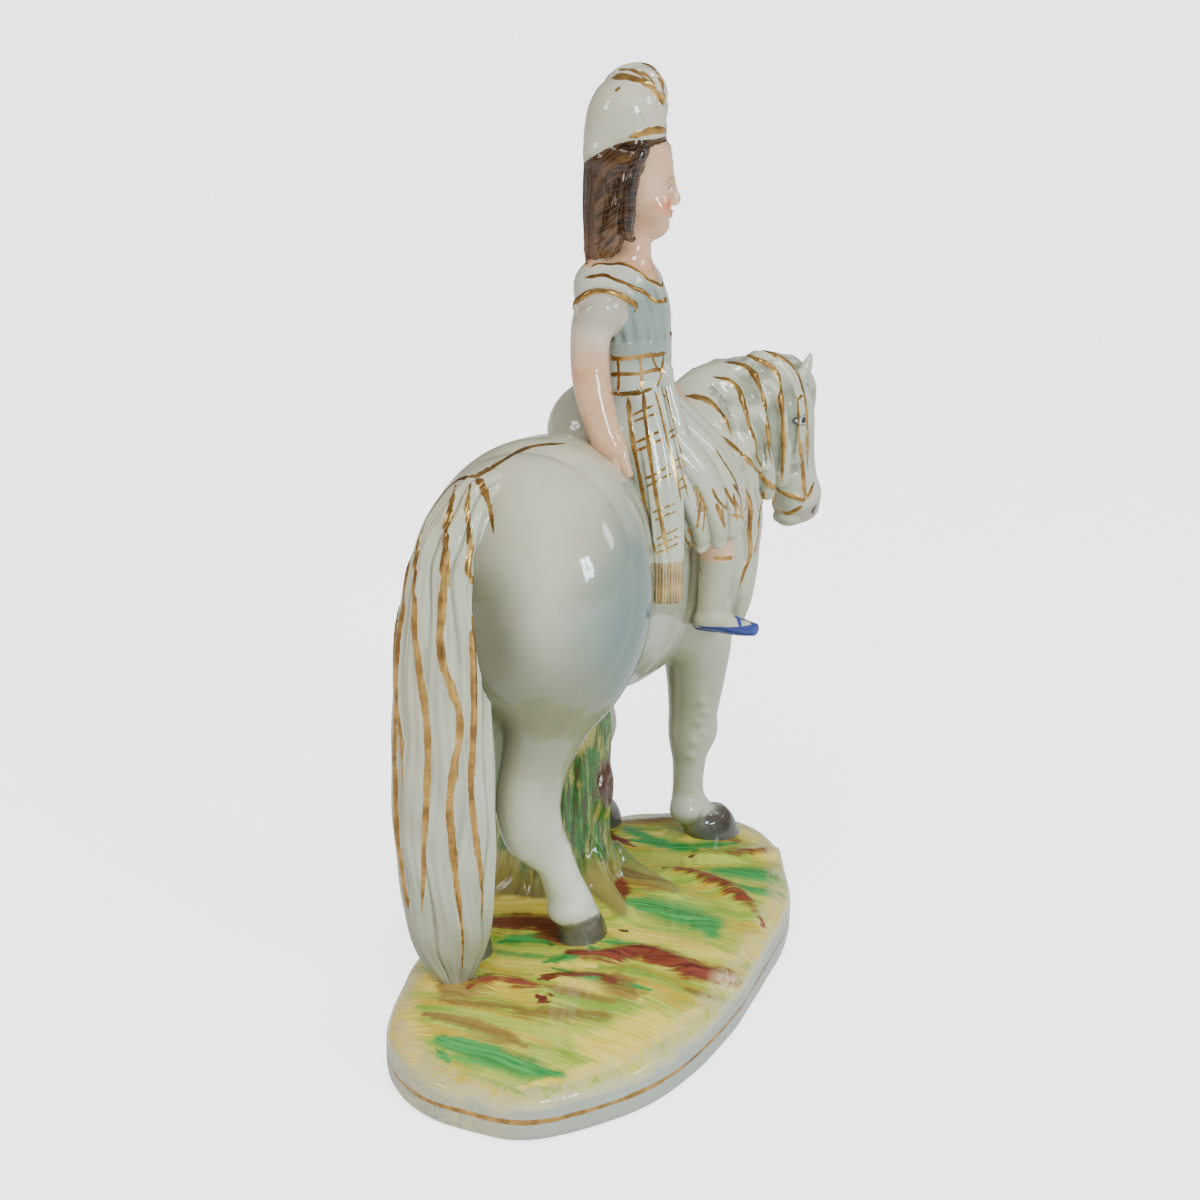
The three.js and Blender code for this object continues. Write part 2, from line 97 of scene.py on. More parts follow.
class Sweep:
    """Elliptical limb through stations [x, y, z, half width, half depth]; `relief(angle, t, a, b)` raises it in mm."""

    def __init__(self, rows, side=(0, 1, 0), cap=(0.7, 0.7), relief=None, per=16):
        L = catmull(rows, per)
        C = L[:, :3]
        T = np.gradient(C, axis=0)
        sp = np.linalg.norm(T, axis=1)
        T /= sp[:, None]
        s = np.array(side, float)
        S = s - (T @ s)[:, None] * T
        S /= np.linalg.norm(S, axis=1)[:, None]
        U = np.cross(T, S)
        self.ab = np.maximum(L[:, 3:5], 0.3)
        self.lut = np.hstack([C, T, S, U, self.ab, sp[:, None]]).astype(F32)
        self.m = len(C) - 1
        k = max(2, per // 2)
        self.Q = C[::k].astype(F32)
        self.k = k
        e0, e1 = self.ab[0].min(), self.ab[-1].min()
        self.caps = (max(e0 * cap[0], 0.25), max(e1 * cap[1], 0.25))
        self.relief = relief
        r = self.ab.max()
        self.lo = (C - r).min(0) - 1
        self.hi = (C + r).max(0) + 1

    def local(self, P):
        n = len(P)
        best = np.full(n, 1e9, F32)
        t = np.zeros(n, F32)
        for j in range(len(self.Q) - 1):
            a = self.Q[j]
            d = self.Q[j + 1] - a
            w = P - a
            h = np.clip((w @ d) / (d @ d), 0, 1)
            w -= h[:, None] * d
            q = np.einsum("ij,ij->i", w, w)
            m = q < best
            best = np.where(m, q, best)
            t = np.where(m, (j + h) * self.k, t)
        for it in range(3):
            i = np.minimum(t.astype(np.int32), self.m - 1)
            f = (t - i)[:, None]
            if it < 2:
                G = self.lut[i, :6] * (1 - f) + self.lut[i + 1, :6] * f
                move = np.einsum("ij,ij->i", P - G[:, :3], G[:, 3:6]) / self.lut[i, 14]
                t = np.clip(t + move * 0.9, 0, self.m)
        G = self.lut[i] * (1 - f) + self.lut[i + 1] * f
        d = P - G[:, :3]
        z = np.einsum("ij,ij->i", d, G[:, 3:6])
        x = np.einsum("ij,ij->i", d, G[:, 6:9])
        y = np.einsum("ij,ij->i", d, G[:, 9:12])
        return x, y, z, G[:, 12], G[:, 13], t / self.m

    def dist(self, P):
        x, y, z, a, b, t = self.local(P)
        end = (t <= 0.0005) | (t >= 0.9995)
        c = np.where(t < 0.5, self.caps[0], self.caps[1])
        zz = np.where(end, z, 0)
        k0 = np.sqrt((x / a) ** 2 + (y / b) ** 2 + (zz / c) ** 2)
        k1 = np.sqrt((x / a ** 2) ** 2 + (y / b ** 2) ** 2 + (zz / c ** 2) ** 2)
        f = k0 * (k0 - 1) / np.maximum(k1, 1e-5)
        f = np.where(k0 < 1e-3, -np.minimum(a, b), f)
        if self.relief is not None:
            f = f - self.relief(np.arctan2(y / b, x / a), t, a, b)
        return f


class Ball:
    def __init__(self, centre, radii, turn=(0, 0, 0)):
        self.c = np.array(centre, F32)
        self.r = np.array(radii, F32)
        R = Matrix.Rotation(math.radians(turn[2]), 3, "Z") @ Matrix.Rotation(math.radians(turn[1]), 3, "Y") @ Matrix.Rotation(math.radians(turn[0]), 3, "X")
        self.R = np.array(R, dtype=F32)
        q = float(max(radii))
        self.lo = self.c - q
        self.hi = self.c + q

    def dist(self, P):
        p = (P - self.c) @ self.R
        k0 = np.sqrt(((p / self.r) ** 2).sum(1))
        k1 = np.sqrt(((p / self.r ** 2) ** 2).sum(1))
        return np.where(k0 < 1e-3, -self.r.min(), k0 * (k0 - 1) / np.maximum(k1, 1e-5))


class Shape:
    """Any distance function with a box."""

    def __init__(self, fn, lo, hi):
        self.dist, self.lo, self.hi = fn, np.array(lo, F32), np.array(hi, F32)


class Group:
    """Several shapes blended with one another and used as one."""

    def __init__(self, *items):
        self.f = Field()
        for prim, k in items:
            self.f.add(prim, k)
        self.lo = np.min([p.lo for p, _ in items], axis=0)
        self.hi = np.max([p.hi for p, _ in items], axis=0)

    def dist(self, P):
        return self.f._value(np.asarray(P, F32), 14.0)


class Field:
    def __init__(self):
        self.items = []
        self.core = 0  # shapes before this one are the body that limbs are blended into

    def add(self, prim, k=0.0, tag=0, cut=False):
        self.items.append((prim, k, tag, cut))
        return prim

    def _value(self, P, margin):
        F = np.full(len(P), 90.0, F32)
        C = F.copy()
        for n, (prim, k, _, cut) in enumerate(self.items, 1):
            g = 1.7 * max(k, 0) + (0 if cut else margin)
            m = ((P > prim.lo - g) & (P < prim.hi + g)).all(1)
            if not m.any():
                if n == self.core:
                    C = F.copy()
                continue
            f = prim.dist(P[m]).astype(F32)
            if n > self.core > 0 and not cut and k > 2:
                F[m] = smin(F[m], smin(C[m], f, k), 1.5)
            else:
                F[m] = smax(F[m], -f, k) if cut else (smin(F[m], f, k) if k > 0 else np.minimum(F[m], f))
            if n == self.core:
                C = F.copy()
        return np.minimum(F, margin)

    def value(self, P, margin=3.0):
        P = np.asarray(P, F32)
        parts = [P[i:i + 60000] for i in range(0, len(P), 60000)]
        if len(parts) == 1:
            return self._value(P, margin)
        with ThreadPoolExecutor(4) as ex:
            return np.concatenate(list(ex.map(lambda q: self._value(q, margin), parts)))

    def tags(self, P, count, reach=4.0):
        """Smallest distance to the parts of each tag."""
        P = np.asarray(P, F32)
        D = np.full((count, len(P)), reach, F32)
        for prim, _, tag, cut in self.items:
            if cut:
                continue
            m = ((P > prim.lo - reach) & (P < prim.hi + reach)).all(1)
            if m.any():
                D[tag][m] = np.minimum(D[tag][m], prim.dist(P[m]))
        return D

    def gradient(self, P, e=0.12):
        P = np.asarray(P, F32)
        G = np.empty((len(P), 3), F32)
        for ax in range(3):
            o = np.zeros(3, F32)
            o[ax] = e
            G[:, ax] = self.value(P + o) - self.value(P - o)
        n = np.linalg.norm(G, axis=1)
        return G / np.maximum(n, 1e-9)[:, None]


def surface(field, h):
    """Closed surface of a field: blocks near the surface are sampled, then a dual grid surface is drawn."""
    lo = np.min([p.lo for p, _, _, cut in field.items if not cut], axis=0) - 2
    hi = np.max([p.hi for p, _, _, cut in field.items if not cut], axis=0) + 2
    B = 8
    nb = np.ceil((hi - lo) / (B * h)).astype(int) + 1
    bx = np.stack(np.meshgrid(*[np.arange(n) for n in nb], indexing="ij"), -1).reshape(-1, 3)
    centre = lo + (bx * B + 3.5) * h
    Fc = field.value(centre, 10)
    R = 0.87 * B * h
    act = np.abs(Fc) < R * 1.35 + 0.8
    shape = nb * B
    F = np.repeat(np.repeat(np.repeat(np.where(Fc < 0, -9, 9).astype(F32).reshape(nb), B, 0), B, 1), B, 2)
    cell = np.stack(np.meshgrid(*[np.arange(B)] * 3, indexing="ij"), -1).reshape(-1, 3)
    blocks = bx[act]
    for s in range(0, len(blocks), 4000):
        part = blocks[s:s + 4000]
        idx = (part[:, None, :] * B + cell[None]).reshape(-1, 3)
        F[idx[:, 0], idx[:, 1], idx[:, 2]] = np.clip(field.value(lo + idx * h, 2.0), -9, 9)
    neg = F < 0
    n = neg.astype(np.uint8)
    s = np.zeros(np.array(F.shape) - 1, np.uint8)
    for dx in (0, 1):
        for dy in (0, 1):
            for dz in (0, 1):
                s += n[dx:dx + s.shape[0], dy:dy + s.shape[1], dz:dz + s.shape[2]]
    ix, iy, iz = np.nonzero((s > 0) & (s < 8))
    corner = [(a, b, c) for a in (0, 1) for b in (0, 1) for c in (0, 1)]
    vals = {c: F[ix + c[0], iy + c[1], iz + c[2]] for c in corner}
    acc = np.zeros((len(ix), 3), F32)
    cnt = np.zeros(len(ix), F32)
    for a in corner:
        for ax in range(3):
            if a[ax]:
                continue
            b = list(a); b[ax] = 1; b = tuple(b)
            fa, fb = vals[a], vals[b]
            m = (fa < 0) != (fb < 0)
            t = np.where(m, fa / np.where(m, fa - fb, 1), 0)
            for k in range(3):
                acc[:, k] += np.where(m, (t if k == ax else float(a[k])), 0)
            cnt += m
    V = lo + (np.stack([ix, iy, iz], 1) + acc / cnt[:, None]) * h
    vi = np.full(s.shape, -1, np.int32)
    vi[ix, iy, iz] = np.arange(len(ix), dtype=np.int32)
    quads = []
    for ax in range(3):
        u, v = (ax + 1) % 3, (ax + 2) % 3
        sl0 = [slice(1, -1)] * 3
        sl1 = [slice(1, -1)] * 3
        sl0[ax] = slice(0, -1)
        sl1[ax] = slice(1, None)
        a, b = neg[tuple(sl0)], neg[tuple(sl1)]
        e = np.argwhere(a != b)
        flip = a[tuple(e.T)]
        off = np.ones(3, int); off[ax] = 0
        e = e + off
        def at(du, dv):
            q = e.copy(); q[:, u] -= du; q[:, v] -= dv
            return vi[q[:, 0], q[:, 1], q[:, 2]]
        c = np.stack([at(0, 0), at(1, 0), at(1, 1), at(0, 1)], 1)
        c = np.where(flip[:, None], c, c[:, ::-1])
        quads.append(c)
    Q = np.concatenate(quads)
    Q = Q[(Q >= 0).all(1)]
    # draw the points onto the true surface
    f0 = field.value(V)
    G = np.stack([field.value(V + o) - f0 for o in np.eye(3, dtype=F32) * 0.12], 1)
    G = G / np.maximum(np.linalg.norm(G, axis=1), 1e-9)[:, None]
    V = V - G * np.clip(f0, -h, h)[:, None] * 0.9
    V = V - G * np.clip(field.value(V), -h, h)[:, None] * 0.8
    return V.astype(np.float64), Q


# ------------------------------------------------------------------ pixels of the photograph's frame to points
def rays(px):
    px = np.atleast_2d(np.array(px, float))
    d = FWD + RIGHT * ((px[:, :1] - 600) / FOCAL) - UP * ((px[:, 1:] - 600) / FOCAL)
    return d / np.linalg.norm(d, axis=1)[:, None]


MESH = {}  # field -> points, faces and search tree of its surface


def build(field, h):
    V, Q = surface(field, h)
    MESH[field] = (V, Q, BVHTree.FromPolygons(V.tolist(), Q.tolist()))


def hits(field, px):
    """Points of the surface seen at pixels; rays that just miss it go to the nearest point of it."""
    d = rays(px)
    P = np.full((len(d), 3), np.nan)
    T = np.full(len(d), np.inf)
    trees = [MESH[f][2] for f in getattr(field, "fields", [field])]
    for tree in trees:
        for k, v in enumerate(d):
            p, _, _, t = tree.ray_cast(Vector(EYE), Vector(v))
            if p is not None and t < T[k]:
                P[k], T[k] = p, t
    miss = ~np.isfinite(T)
    if miss.any():
        known = np.nonzero(~miss)[0]
        for k in np.nonzero(miss)[0]:
            t = T[known[np.abs(known - k).argmin()]] if len(known) else 690.0
            for _ in range(4):
                near = min((tree.find_nearest(Vector(EYE + d[k] * t)) for tree in trees), key=lambda r: r[3])[0]
                t = float((np.array(near) - EYE) @ d[k])
            P[k] = near
    return P


def curve2d(pts, every=1.6):
    c = catmull(pts, 24)
    L = np.concatenate([[0], np.cumsum(np.linalg.norm(np.diff(c, axis=0), axis=1))])
    n = max(3, int(L[-1] / every))
    q = np.linspace(0, L[-1], n)
    return np.stack([np.interp(q, L, c[:, k]) for k in range(c.shape[1])], 1)


class Stroke:
    """A line on the surface: points, half widths that fade below nothing at the ends."""

    def __init__(self, P, half, taper=(0.15, 0.2), wave=0.12, seed=0.0):
        self.P = np.asarray(P, float)
        L = np.concatenate([[0], np.cumsum(np.linalg.norm(np.diff(self.P, axis=0), axis=1))])
        u = L / L[-1]
        self.length = L[-1]
        w = half * (1 + wave * np.sin(L * 0.55 + seed) + 0.6 * wave * np.sin(L * 1.7 + 2.1 * seed))
        fade = np.ones_like(u)
        if taper[0] > 0:
            fade = np.minimum(fade, np.clip(u / taper[0], 0, 1) ** 0.6)
        if taper[1] > 0:
            fade = np.minimum(fade, np.clip((1 - u) / taper[1], 0, 1) ** 0.6)
        self.W = w * fade
        if taper[0] >= 0:
            self.W[0] = -0.25
        if taper[1] >= 0:
            self.W[-1] = -0.25


def drawn(field, px, half, every=1.6, **kw):
    """A stroke through pixels of the photograph's frame, laid on the surface of `field`."""
    P = hits(field, curve2d(px, every))
    keep = np.concatenate([[True], np.linalg.norm(np.diff(P, axis=0), axis=1) > 0.05])
    P = P[keep]
    # a light smoothing takes out jumps where the line crosses a fold
    for _ in range(2):
        P[1:-1] = 0.25 * P[:-2] + 0.5 * P[1:-1] + 0.25 * P[2:]
    return Stroke(P, half, **kw)


def laid(field, pts, half, every=0.6, **kw):
    """A stroke through 3D points, drawn onto the surface of `field`."""
    P = np.array([MESH[field][2].find_nearest(Vector(p))[0] for p in curve2d(pts, every)], float)
    P = P[np.concatenate([[True], np.linalg.norm(np.diff(P, axis=0), axis=1) > 0.02])]
    for _ in range(3):
        P[1:-1] = 0.25 * P[:-2] + 0.5 * P[1:-1] + 0.25 * P[2:]
    return Stroke(P, half, **kw)


def nearest(V, stroke, reach):
    """Points within reach of a stroke: their indices, distance, offset vector, tangent, width."""
    P = stroke.P
    idx = np.nonzero(((V > P.min(0) - reach) & (V < P.max(0) + reach)).all(1))[0]
    if not len(idx):
        return idx, None, None, None, None
    A = P[:-1]; D = P[1:] - A
    dd = np.maximum((D * D).sum(1), 1e-9)
    out = []
    for s in range(0, len(idx), 3000):
        w = V[idx[s:s + 3000]][:, None] - A[None]
        h = np.clip((w * D).sum(2) / dd, 0, 1)
        r = w - h[..., None] * D
        q = (r * r).sum(2)
        j = q.argmin(1)
        k = np.arange(len(j))
        out.append((np.sqrt(q[k, j]), r[k, j], D[j] / np.sqrt(dd[j])[:, None], stroke.W[j] * (1 - h[k, j]) + stroke.W[j + 1] * h[k, j]))
    d, r, T, W = (np.concatenate(x) for x in zip(*out))
    near = d < reach
    return idx[near], d[near], r[near], T[near], W[near]


def paint_lines(V, N, strokes, reach=1.7):
    """Signed offset from the nearest stroke, its half width there, and how far inside the reach the point is."""
    s = np.full(len(V), reach); w = np.full(len(V), -1.0); m = np.full(len(V), -1.0); best = np.full(len(V), 1e9)
    for st in strokes:
        idx, d, r, T, W = nearest(V, st, reach + 1.2)
        if not len(idx):
            continue
        sg = np.where((np.cross(T, N[idx]) * r).sum(1) < 0, -1.0, 1.0)
        up = (r * N[idx]).sum(1)
        d = np.sqrt(np.maximum(d * d - up * up, 0)) + 0.15 * np.abs(up)  # offset along the surface, raised or not
        b = d < best[idx]
        i = idx[b]
        best[i] = d[b]; s[i] = (sg * d)[b]; w[i] = W[b]; m[i] = (reach - d)[b]
    return s, w, m


def press(V, N, strokes, amount, width):
    """Raises (amount > 0) or sinks the surface along strokes."""
    lift = np.zeros(len(V))
    for st in strokes:
        idx, d, _, _, W = nearest(V, st, width * 2.4)
        if len(idx):
            e = np.exp(-(d / width) ** 2) * np.clip(W / max(np.max(st.W), 1e-6) + 0.3, 0, 1)
            lift[idx] = np.maximum(lift[idx], e)
    return V + N * (lift * amount)[:, None]


def dent(V, N, centre, radius, depth):
    """Sinks a round hollow (depth > 0) or raises a bump."""
    c = np.asarray(centre, float)
    d2 = ((V - c) ** 2).sum(1)
    e = np.where(d2 < (radius * 3) ** 2, np.exp(-d2 / radius ** 2), 0)
    return V - N * (e * depth)[:, None]


def ripple(V, N, amount=0.07, size=7.0):
    """The slow unevenness of hand-finished pottery."""
    x, y, z = (V / size).T
    r = np.sin(1.9 * x + 0.7 * y + 1.1) * np.sin(1.3 * y - 0.9 * z + 0.4) + 0.6 * np.sin(2.3 * z + 1.7 * x + 2.0) * np.sin(2.1 * y + 0.5 * x + 0.3)
    r += 0.35 * np.sin(4.1 * x - 2.7 * z + 0.7) * np.sin(3.9 * y + 3.1 * z)
    return V + N * (r * amount)[:, None]


def normals(V, Q):
    n = np.cross(V[Q[:, 2]] - V[Q[:, 0]], V[Q[:, 3]] - V[Q[:, 1]])
    N = np.zeros_like(V)
    for k in range(4):
        for c in range(3):
            N[:, c] += np.bincount(Q[:, k], weights=n[:, c], minlength=len(V))
    return N / np.maximum(np.linalg.norm(N, axis=1), 1e-12)[:, None]


def to_mesh(name, V, Q, budget, keep=None):
    """Blender mesh in metres, thinned to the budget of triangles; points where `keep` is true are left alone."""
    me = bpy.data.meshes.new(name)
    me.vertices.add(len(V))
    me.vertices.foreach_set("co", (V / 1000).astype(F32).ravel())
    me.loops.add(Q.size)
    me.loops.foreach_set("vertex_index", Q.astype(np.int32).ravel())
    me.polygons.add(len(Q))
    me.polygons.foreach_set("loop_start", np.arange(0, Q.size, 4, dtype=np.int32))
    me.update(calc_edges=True)
    ob = bpy.data.objects.new(name, me)
    bpy.context.scene.collection.objects.link(ob)
    tri = 2 * len(Q)
    if tri > budget:
        mod = ob.modifiers.new("thin", "DECIMATE")
        mod.decimate_type = "COLLAPSE"
        mod.ratio = budget / tri
        mod.use_collapse_triangulate = True
        if keep is not None:
            vg = ob.vertex_groups.new(name="thin")
            vg.add(np.nonzero(~keep)[0].tolist(), 1.0, "REPLACE")
            mod.vertex_group = "thin"
            mod.vertex_group_factor = 1.0
        deps = bpy.context.evaluated_depsgraph_get()
        new = bpy.data.meshes.new_from_object(ob.evaluated_get(deps))
        ob.modifiers.clear()
        ob.vertex_groups.clear()
        old = ob.data
        ob.data = new
        bpy.data.meshes.remove(old)
        ob.data.name = name
    me = ob.data
    me.polygons.foreach_set("use_smooth", np.ones(len(me.polygons), bool))
    me.update()
    return ob


def coords(ob):
    me = ob.data
    v = np.empty(len(me.vertices) * 3, F32)
    me.vertices.foreach_get("co", v)
    n = np.empty(len(me.vertices) * 3, F32)
    me.vertex_normals.foreach_get("vector", n)
    return v.reshape(-1, 3).astype(float) * 1000, n.reshape(-1, 3).astype(float)


def attr(ob, name, values):
    a = ob.data.attributes.new(name, "FLOAT", "POINT")
    a.data.foreach_set("value", np.asarray(values, F32))


def vattr(ob, name, values):
    a = ob.data.attributes.new(name, "FLOAT_VECTOR", "POINT")
    a.data.foreach_set("vector", np.asarray(values, F32).ravel())

TRUNK = [
  [-46, 12, 124, 8, 9], [-44, 12, 124, 15.4, 17.6], [-38.5, 12, 123.5, 23.6, 26.6], [-30, 12, 122.5, 29, 32.5], [-19, 12.2, 120.3, 30.8, 36.3],
  [-6, 12.8, 118, 28, 37], [8, 12.6, 115.2, 25, 36.3], [26, 11.4, 113, 24, 37.2], [42, 9.4, 112, 24, 38.4], [56, 7, 114, 23, 36.8],
  [67, 4.2, 117.4, 20.4, 30.6], [76.6, 1.6, 118.5, 15.6, 22.4], [82, 0.4, 119, 8, 11.6],
]
NECK = [
  [50, 4.5, 121.5, 18.5, 23.5], [60, 1.5, 126.4, 17, 22.6], [70, -3.6, 132.6, 14.8, 20.8], [79.5, -9, 140, 12.2, 20.6], [88, -14.2, 145, 10, 15.3],
  [94, -18, 147, 8.2, 10.4],
]
HEAD = [
  [93, -18.5, 153, 6.5, 7], [95, -19.4, 148.5, 7.6, 9.6], [97.5, -20.6, 141, 8, 11.6], [99, -21.4, 133, 7.6, 11.2],
  [101, -22.8, 125.5, 6.5, 9], [103, -24.2, 118.5, 6, 7.6], [104.8, -25.2, 113.5, 6.4, 7.4], [105.8, -25.8, 109.5, 5, 5.8],
]
HIND_R = [
  [-13, 7, 128, 13, 17], [-15, 4, 112, 18.4, 23.3], [-19, 5.2, 96, 16.4, 21.4], [-21.5, 7.9, 83, 11.4, 16], [-24.5, 10.2, 71, 8.6, 12.2],
  [-27, 10.9, 61, 8.2, 10.4], [-25.8, 9.6, 53, 7.6, 8.6], [-20.8, 6.6, 44.5, 5.2, 6.3], [-16.8, 5.3, 36, 5, 5.7], [-13.6, 4.4, 29, 5.7, 6.4],
  [-11, 3.4, 23.5, 5.8, 6.4], [-9.5, 2.6, 18.5, 6.4, 7.4], [-9, 2.4, 13, 6.8, 8],
]
HIND_L = [
  [-13, 19, 128, 14, 17.6], [-17, 21.5, 112, 16.2, 22], [-22, 23, 96, 13.6, 19.4], [-27, 24.4, 82, 10.2, 14.6], [-31.5, 25.8, 70, 8.4, 11.6],
  [-35, 26.8, 60, 8, 10], [-35.5, 27.4, 52, 7.6, 8.6], [-34, 27.8, 44, 6, 6.8], [-33, 28, 36, 5.6, 6.2], [-32, 28.2, 29, 6, 6.6],
  [-31, 28.3, 23.5, 6, 6.6], [-29.5, 28.4, 18.5, 6.8, 7.8], [-29, 28.4, 13, 7, 8.2],
]
FORE_R = [
  [58, 0, 116, 11, 13], [62, -4.6, 96, 12, 15.2], [63.5, -6.4, 82, 10.5, 11.8], [64.5, -6.3, 70, 8.8, 9.4], [65.5, -5.2, 58, 7.3, 7.6],
  [66, -4.2, 49, 6.4, 6.8], [66.5, -3.8, 41, 5, 5.4], [67, -3.4, 33, 4.5, 5], [68, -3.6, 27, 5, 5.6], [70, -5.4, 22, 5.4, 6],
  [72.2, -8.4, 17.5, 6.8, 7.2], [73, -9.4, 12.5, 7.2, 7.6],
]
FORE_L = [
  [55, 12, 116, 9, 12], [58, 17.4, 96, 10.2, 14], [59, 21.4, 82, 8.8, 11], [60, 23.4, 70, 7.4, 9],
  [60.5, 24.2, 58, 6.2, 7.2], [61, 24.6, 49, 5.8, 6.8], [61, 24.8, 41, 4.8, 5.4], [61.5, 25, 33, 4.4, 5],
  [62.5, 25, 27, 4.8, 5.6], [64.5, 25, 22, 5.2, 6], [66.8, 25, 17.5, 6.6, 7.4], [67.5, 25, 12.5, 7, 7.8],
]
TAIL = [
  [-30, 18.2, 147.6, 5, 6], [-37.5, 21.8, 144.6, 6.4, 6], [-41.2, 24.6, 137, 7.8, 6.4], [-42.8, 26.6, 127, 9.6, 6.6], [-43.4, 27.7, 110, 11.7, 7],
  [-43.6, 28.2, 90, 13.2, 7.6], [-43.6, 27.9, 66, 13.8, 8], [-43.6, 27.4, 47, 13, 8], [-43.8, 27, 30, 11, 7.4], [-44.2, 26, 20, 7, 5.4],
  [-45, 25, 14, 3.4, 3.4],
]
STUMP = [
  [21, 24, 11, 22.5, 19], [21, 24, 17, 20.6, 16.4], [21.4, 24.2, 25, 18.9, 13.6], [22, 24, 38, 17.8, 12], [22.5, 23.6, 55, 17.3, 11.6],
  [23, 22.4, 71, 16.4, 12.2], [24, 18, 88, 11.5, 12],
]
MANE_R = [
  [[62, -6, 147, 3.4, 2.6], [67, -11, 145, 4.4, 3.2], [70, -15, 139, 4.6, 3.4], [73, -18, 128, 4, 3], [76, -19, 120, 2.6, 2.2]],
  [[70, -9, 150.6, 3.6, 2.8], [74.5, -13.6, 150, 4.8, 3.4], [78, -19, 143, 4.8, 3.6], [80, -21, 131, 4.2, 3.2], [83, -21.5, 120, 2.6, 2.2]],
  [[77, -12, 156.6, 3.6, 2.8], [81.5, -17, 154.6, 4.8, 3.6], [84, -22, 148, 4.8, 3.8], [86, -24, 136, 4.2, 3.4], [88, -24, 123, 2.8, 2.4]],
  [[85, -16.5, 158.8, 3.6, 2.8], [88.5, -21, 156.5, 4.4, 3.4], [91, -25, 149, 4.2, 3.4], [93, -26.5, 138, 3.6, 3], [94, -26, 127, 2.4, 2]],
]
MANE_L = [
  [[60, 3, 145.5, 3.2, 2.4], [64.5, 9.4, 141.5, 4.2, 3], [67, 13, 133, 4, 3], [69, 14.2, 123, 2.8, 2.2]],
  [[70, -2.4, 150.4, 3.2, 2.4], [75, 3.6, 147.6, 4.2, 3], [78, 6.6, 138.6, 4, 3], [80.4, 7.2, 128, 2.8, 2.2]],
  [[79.4, -7.6, 156, 3.2, 2.4], [84.6, -2.4, 152.6, 4.2, 3], [88, -0.2, 143.6, 4, 3], [90, -1, 133, 2.8, 2.2]],
]
CHEST_LOCKS = [
  [[66, -13, 134, 3, 2.4], [69, -19, 122, 3.8, 2.6], [70.5, -20, 108, 3.8, 2.6], [68.5, -19.5, 95, 3.2, 2.4], [68, -18, 86, 1.8, 1.6]],
  [[73, -14, 130, 3, 2.4], [76, -19, 118, 3.6, 2.6], [76.2, -18.4, 105, 3.4, 2.6], [73.8, -17, 93, 2.6, 2.2], [72.8, -15.6, 85, 1.6, 1.4]],
]
TORSO = [
  [20.5, 1, 157, 14, 12], [20.8, -1.2, 164, 11.6, 9.8], [21, -2.2, 171, 10.2, 8.8], [21, -2.3, 178, 10.8, 8.6],
  [20.6, -2, 184.5, 12.4, 8.6], [20.2, -1, 190.5, 13.8, 7.6], [20, -0.4, 195.5, 11, 6.4], [20, 0, 199, 6, 4.8],
]
NECK_R = [[20, 0, 195, 5.2, 5.2], [20.4, -1.2, 202, 4.6, 4.8], [21, -2, 210, 4.6, 5]]
SKIRT = [
  [20, 2, 159, 12, 9.6], [22.6, -4.4, 154, 14.4, 10.4], [26, -10.6, 147.2, 16, 10], [29, -16, 140, 16.6, 9.6],
  [31.2, -19.2, 132.6, 16.4, 9], [32.4, -20.4, 127, 15.6, 8.2], [32.8, -20.6, 124, 14.8, 7.6],
]
ARM_R = [
  [9, 1.5, 191, 5.4, 5.4], [6.4, 4, 185.5, 5.6, 5.8], [5, 5, 179, 5, 5.2], [3.8, 4.4, 171, 4.9, 5], [2.6, 2.6, 163.5, 4.7, 4.8],
  [1.8, 0.2, 157, 4.2, 4.3], [1.6, -1.8, 153, 4, 4],
]
ARM_L = [
  [31.5, 0.5, 191, 5.2, 5.2], [34.5, 3, 185, 5.4, 5.6], [37, 4, 178, 4.8, 5], [40, 3.2, 170.5, 4.5, 4.6],
  [44, 0.8, 162.5, 4, 4.2], [48, -2.6, 155.5, 3.5, 3.7],
]
LEG_R = [[31.6, -21.6, 124, 5, 5.2], [31.8, -22, 116, 4.5, 4.8], [32, -21.4, 108, 4.1, 4.5], [32, -20.6, 101, 3.4, 3.8], [32, -20.4, 97, 3.3, 3.5]]
LEG_L = [[42, -17, 122, 4.8, 4.8], [42.4, -17.4, 113, 4.3, 4.5], [42.6, -17, 104, 4, 4.2], [42.6, -16.2, 96, 3.3, 3.5], [42.6, -16, 92, 3.2, 3.4]]
SASH = [
  [13.4, -6.6, 166.5, 4.2, 2.2], [11.8, -9.4, 160, 4.7, 2.3], [10.6, -12.4, 150, 4.9, 2.4], [9.0, -14.6, 139.2, 4.7, 2.4], [7.8, -15.8, 128.3, 4.3, 2.3],
  [7.2, -16.3, 119.4, 4, 2.2], [7.2, -16.3, 110.4, 3.8, 2],
]
KNOT_END = [
  [19.5, -10.6, 169, 1.8, 1.8], [18.8, -12.8, 161, 2.4, 2], [18, -15.6, 152, 2.5, 2], [17.4, -18.6, 143, 2.5, 2], [17.2, -20.8, 134, 2.4, 1.8],
]
HAIR = [
  [20, 2.6, 229, 9, 7.4], [20, 3.4, 222, 10.4, 7.6], [20, 4.2, 214, 10.2, 7], [20, 4.9, 206, 9.6, 6], [20, 6.5, 200, 8.4, 4.2],
  [20, 7.8, 196.2, 5.6, 2.6],
]
HAT = [
  [21, 0.9, 226, 10.6, 10.2], [21, 0.9, 231, 10.8, 10.6], [21, 0.7, 235, 10.8, 10.4], [21, -0.1, 239, 10.2, 9.4], [21.2, -0.9, 242, 8.8, 7.9],
  [21.4, -1.6, 245, 6.4, 5.6],
]
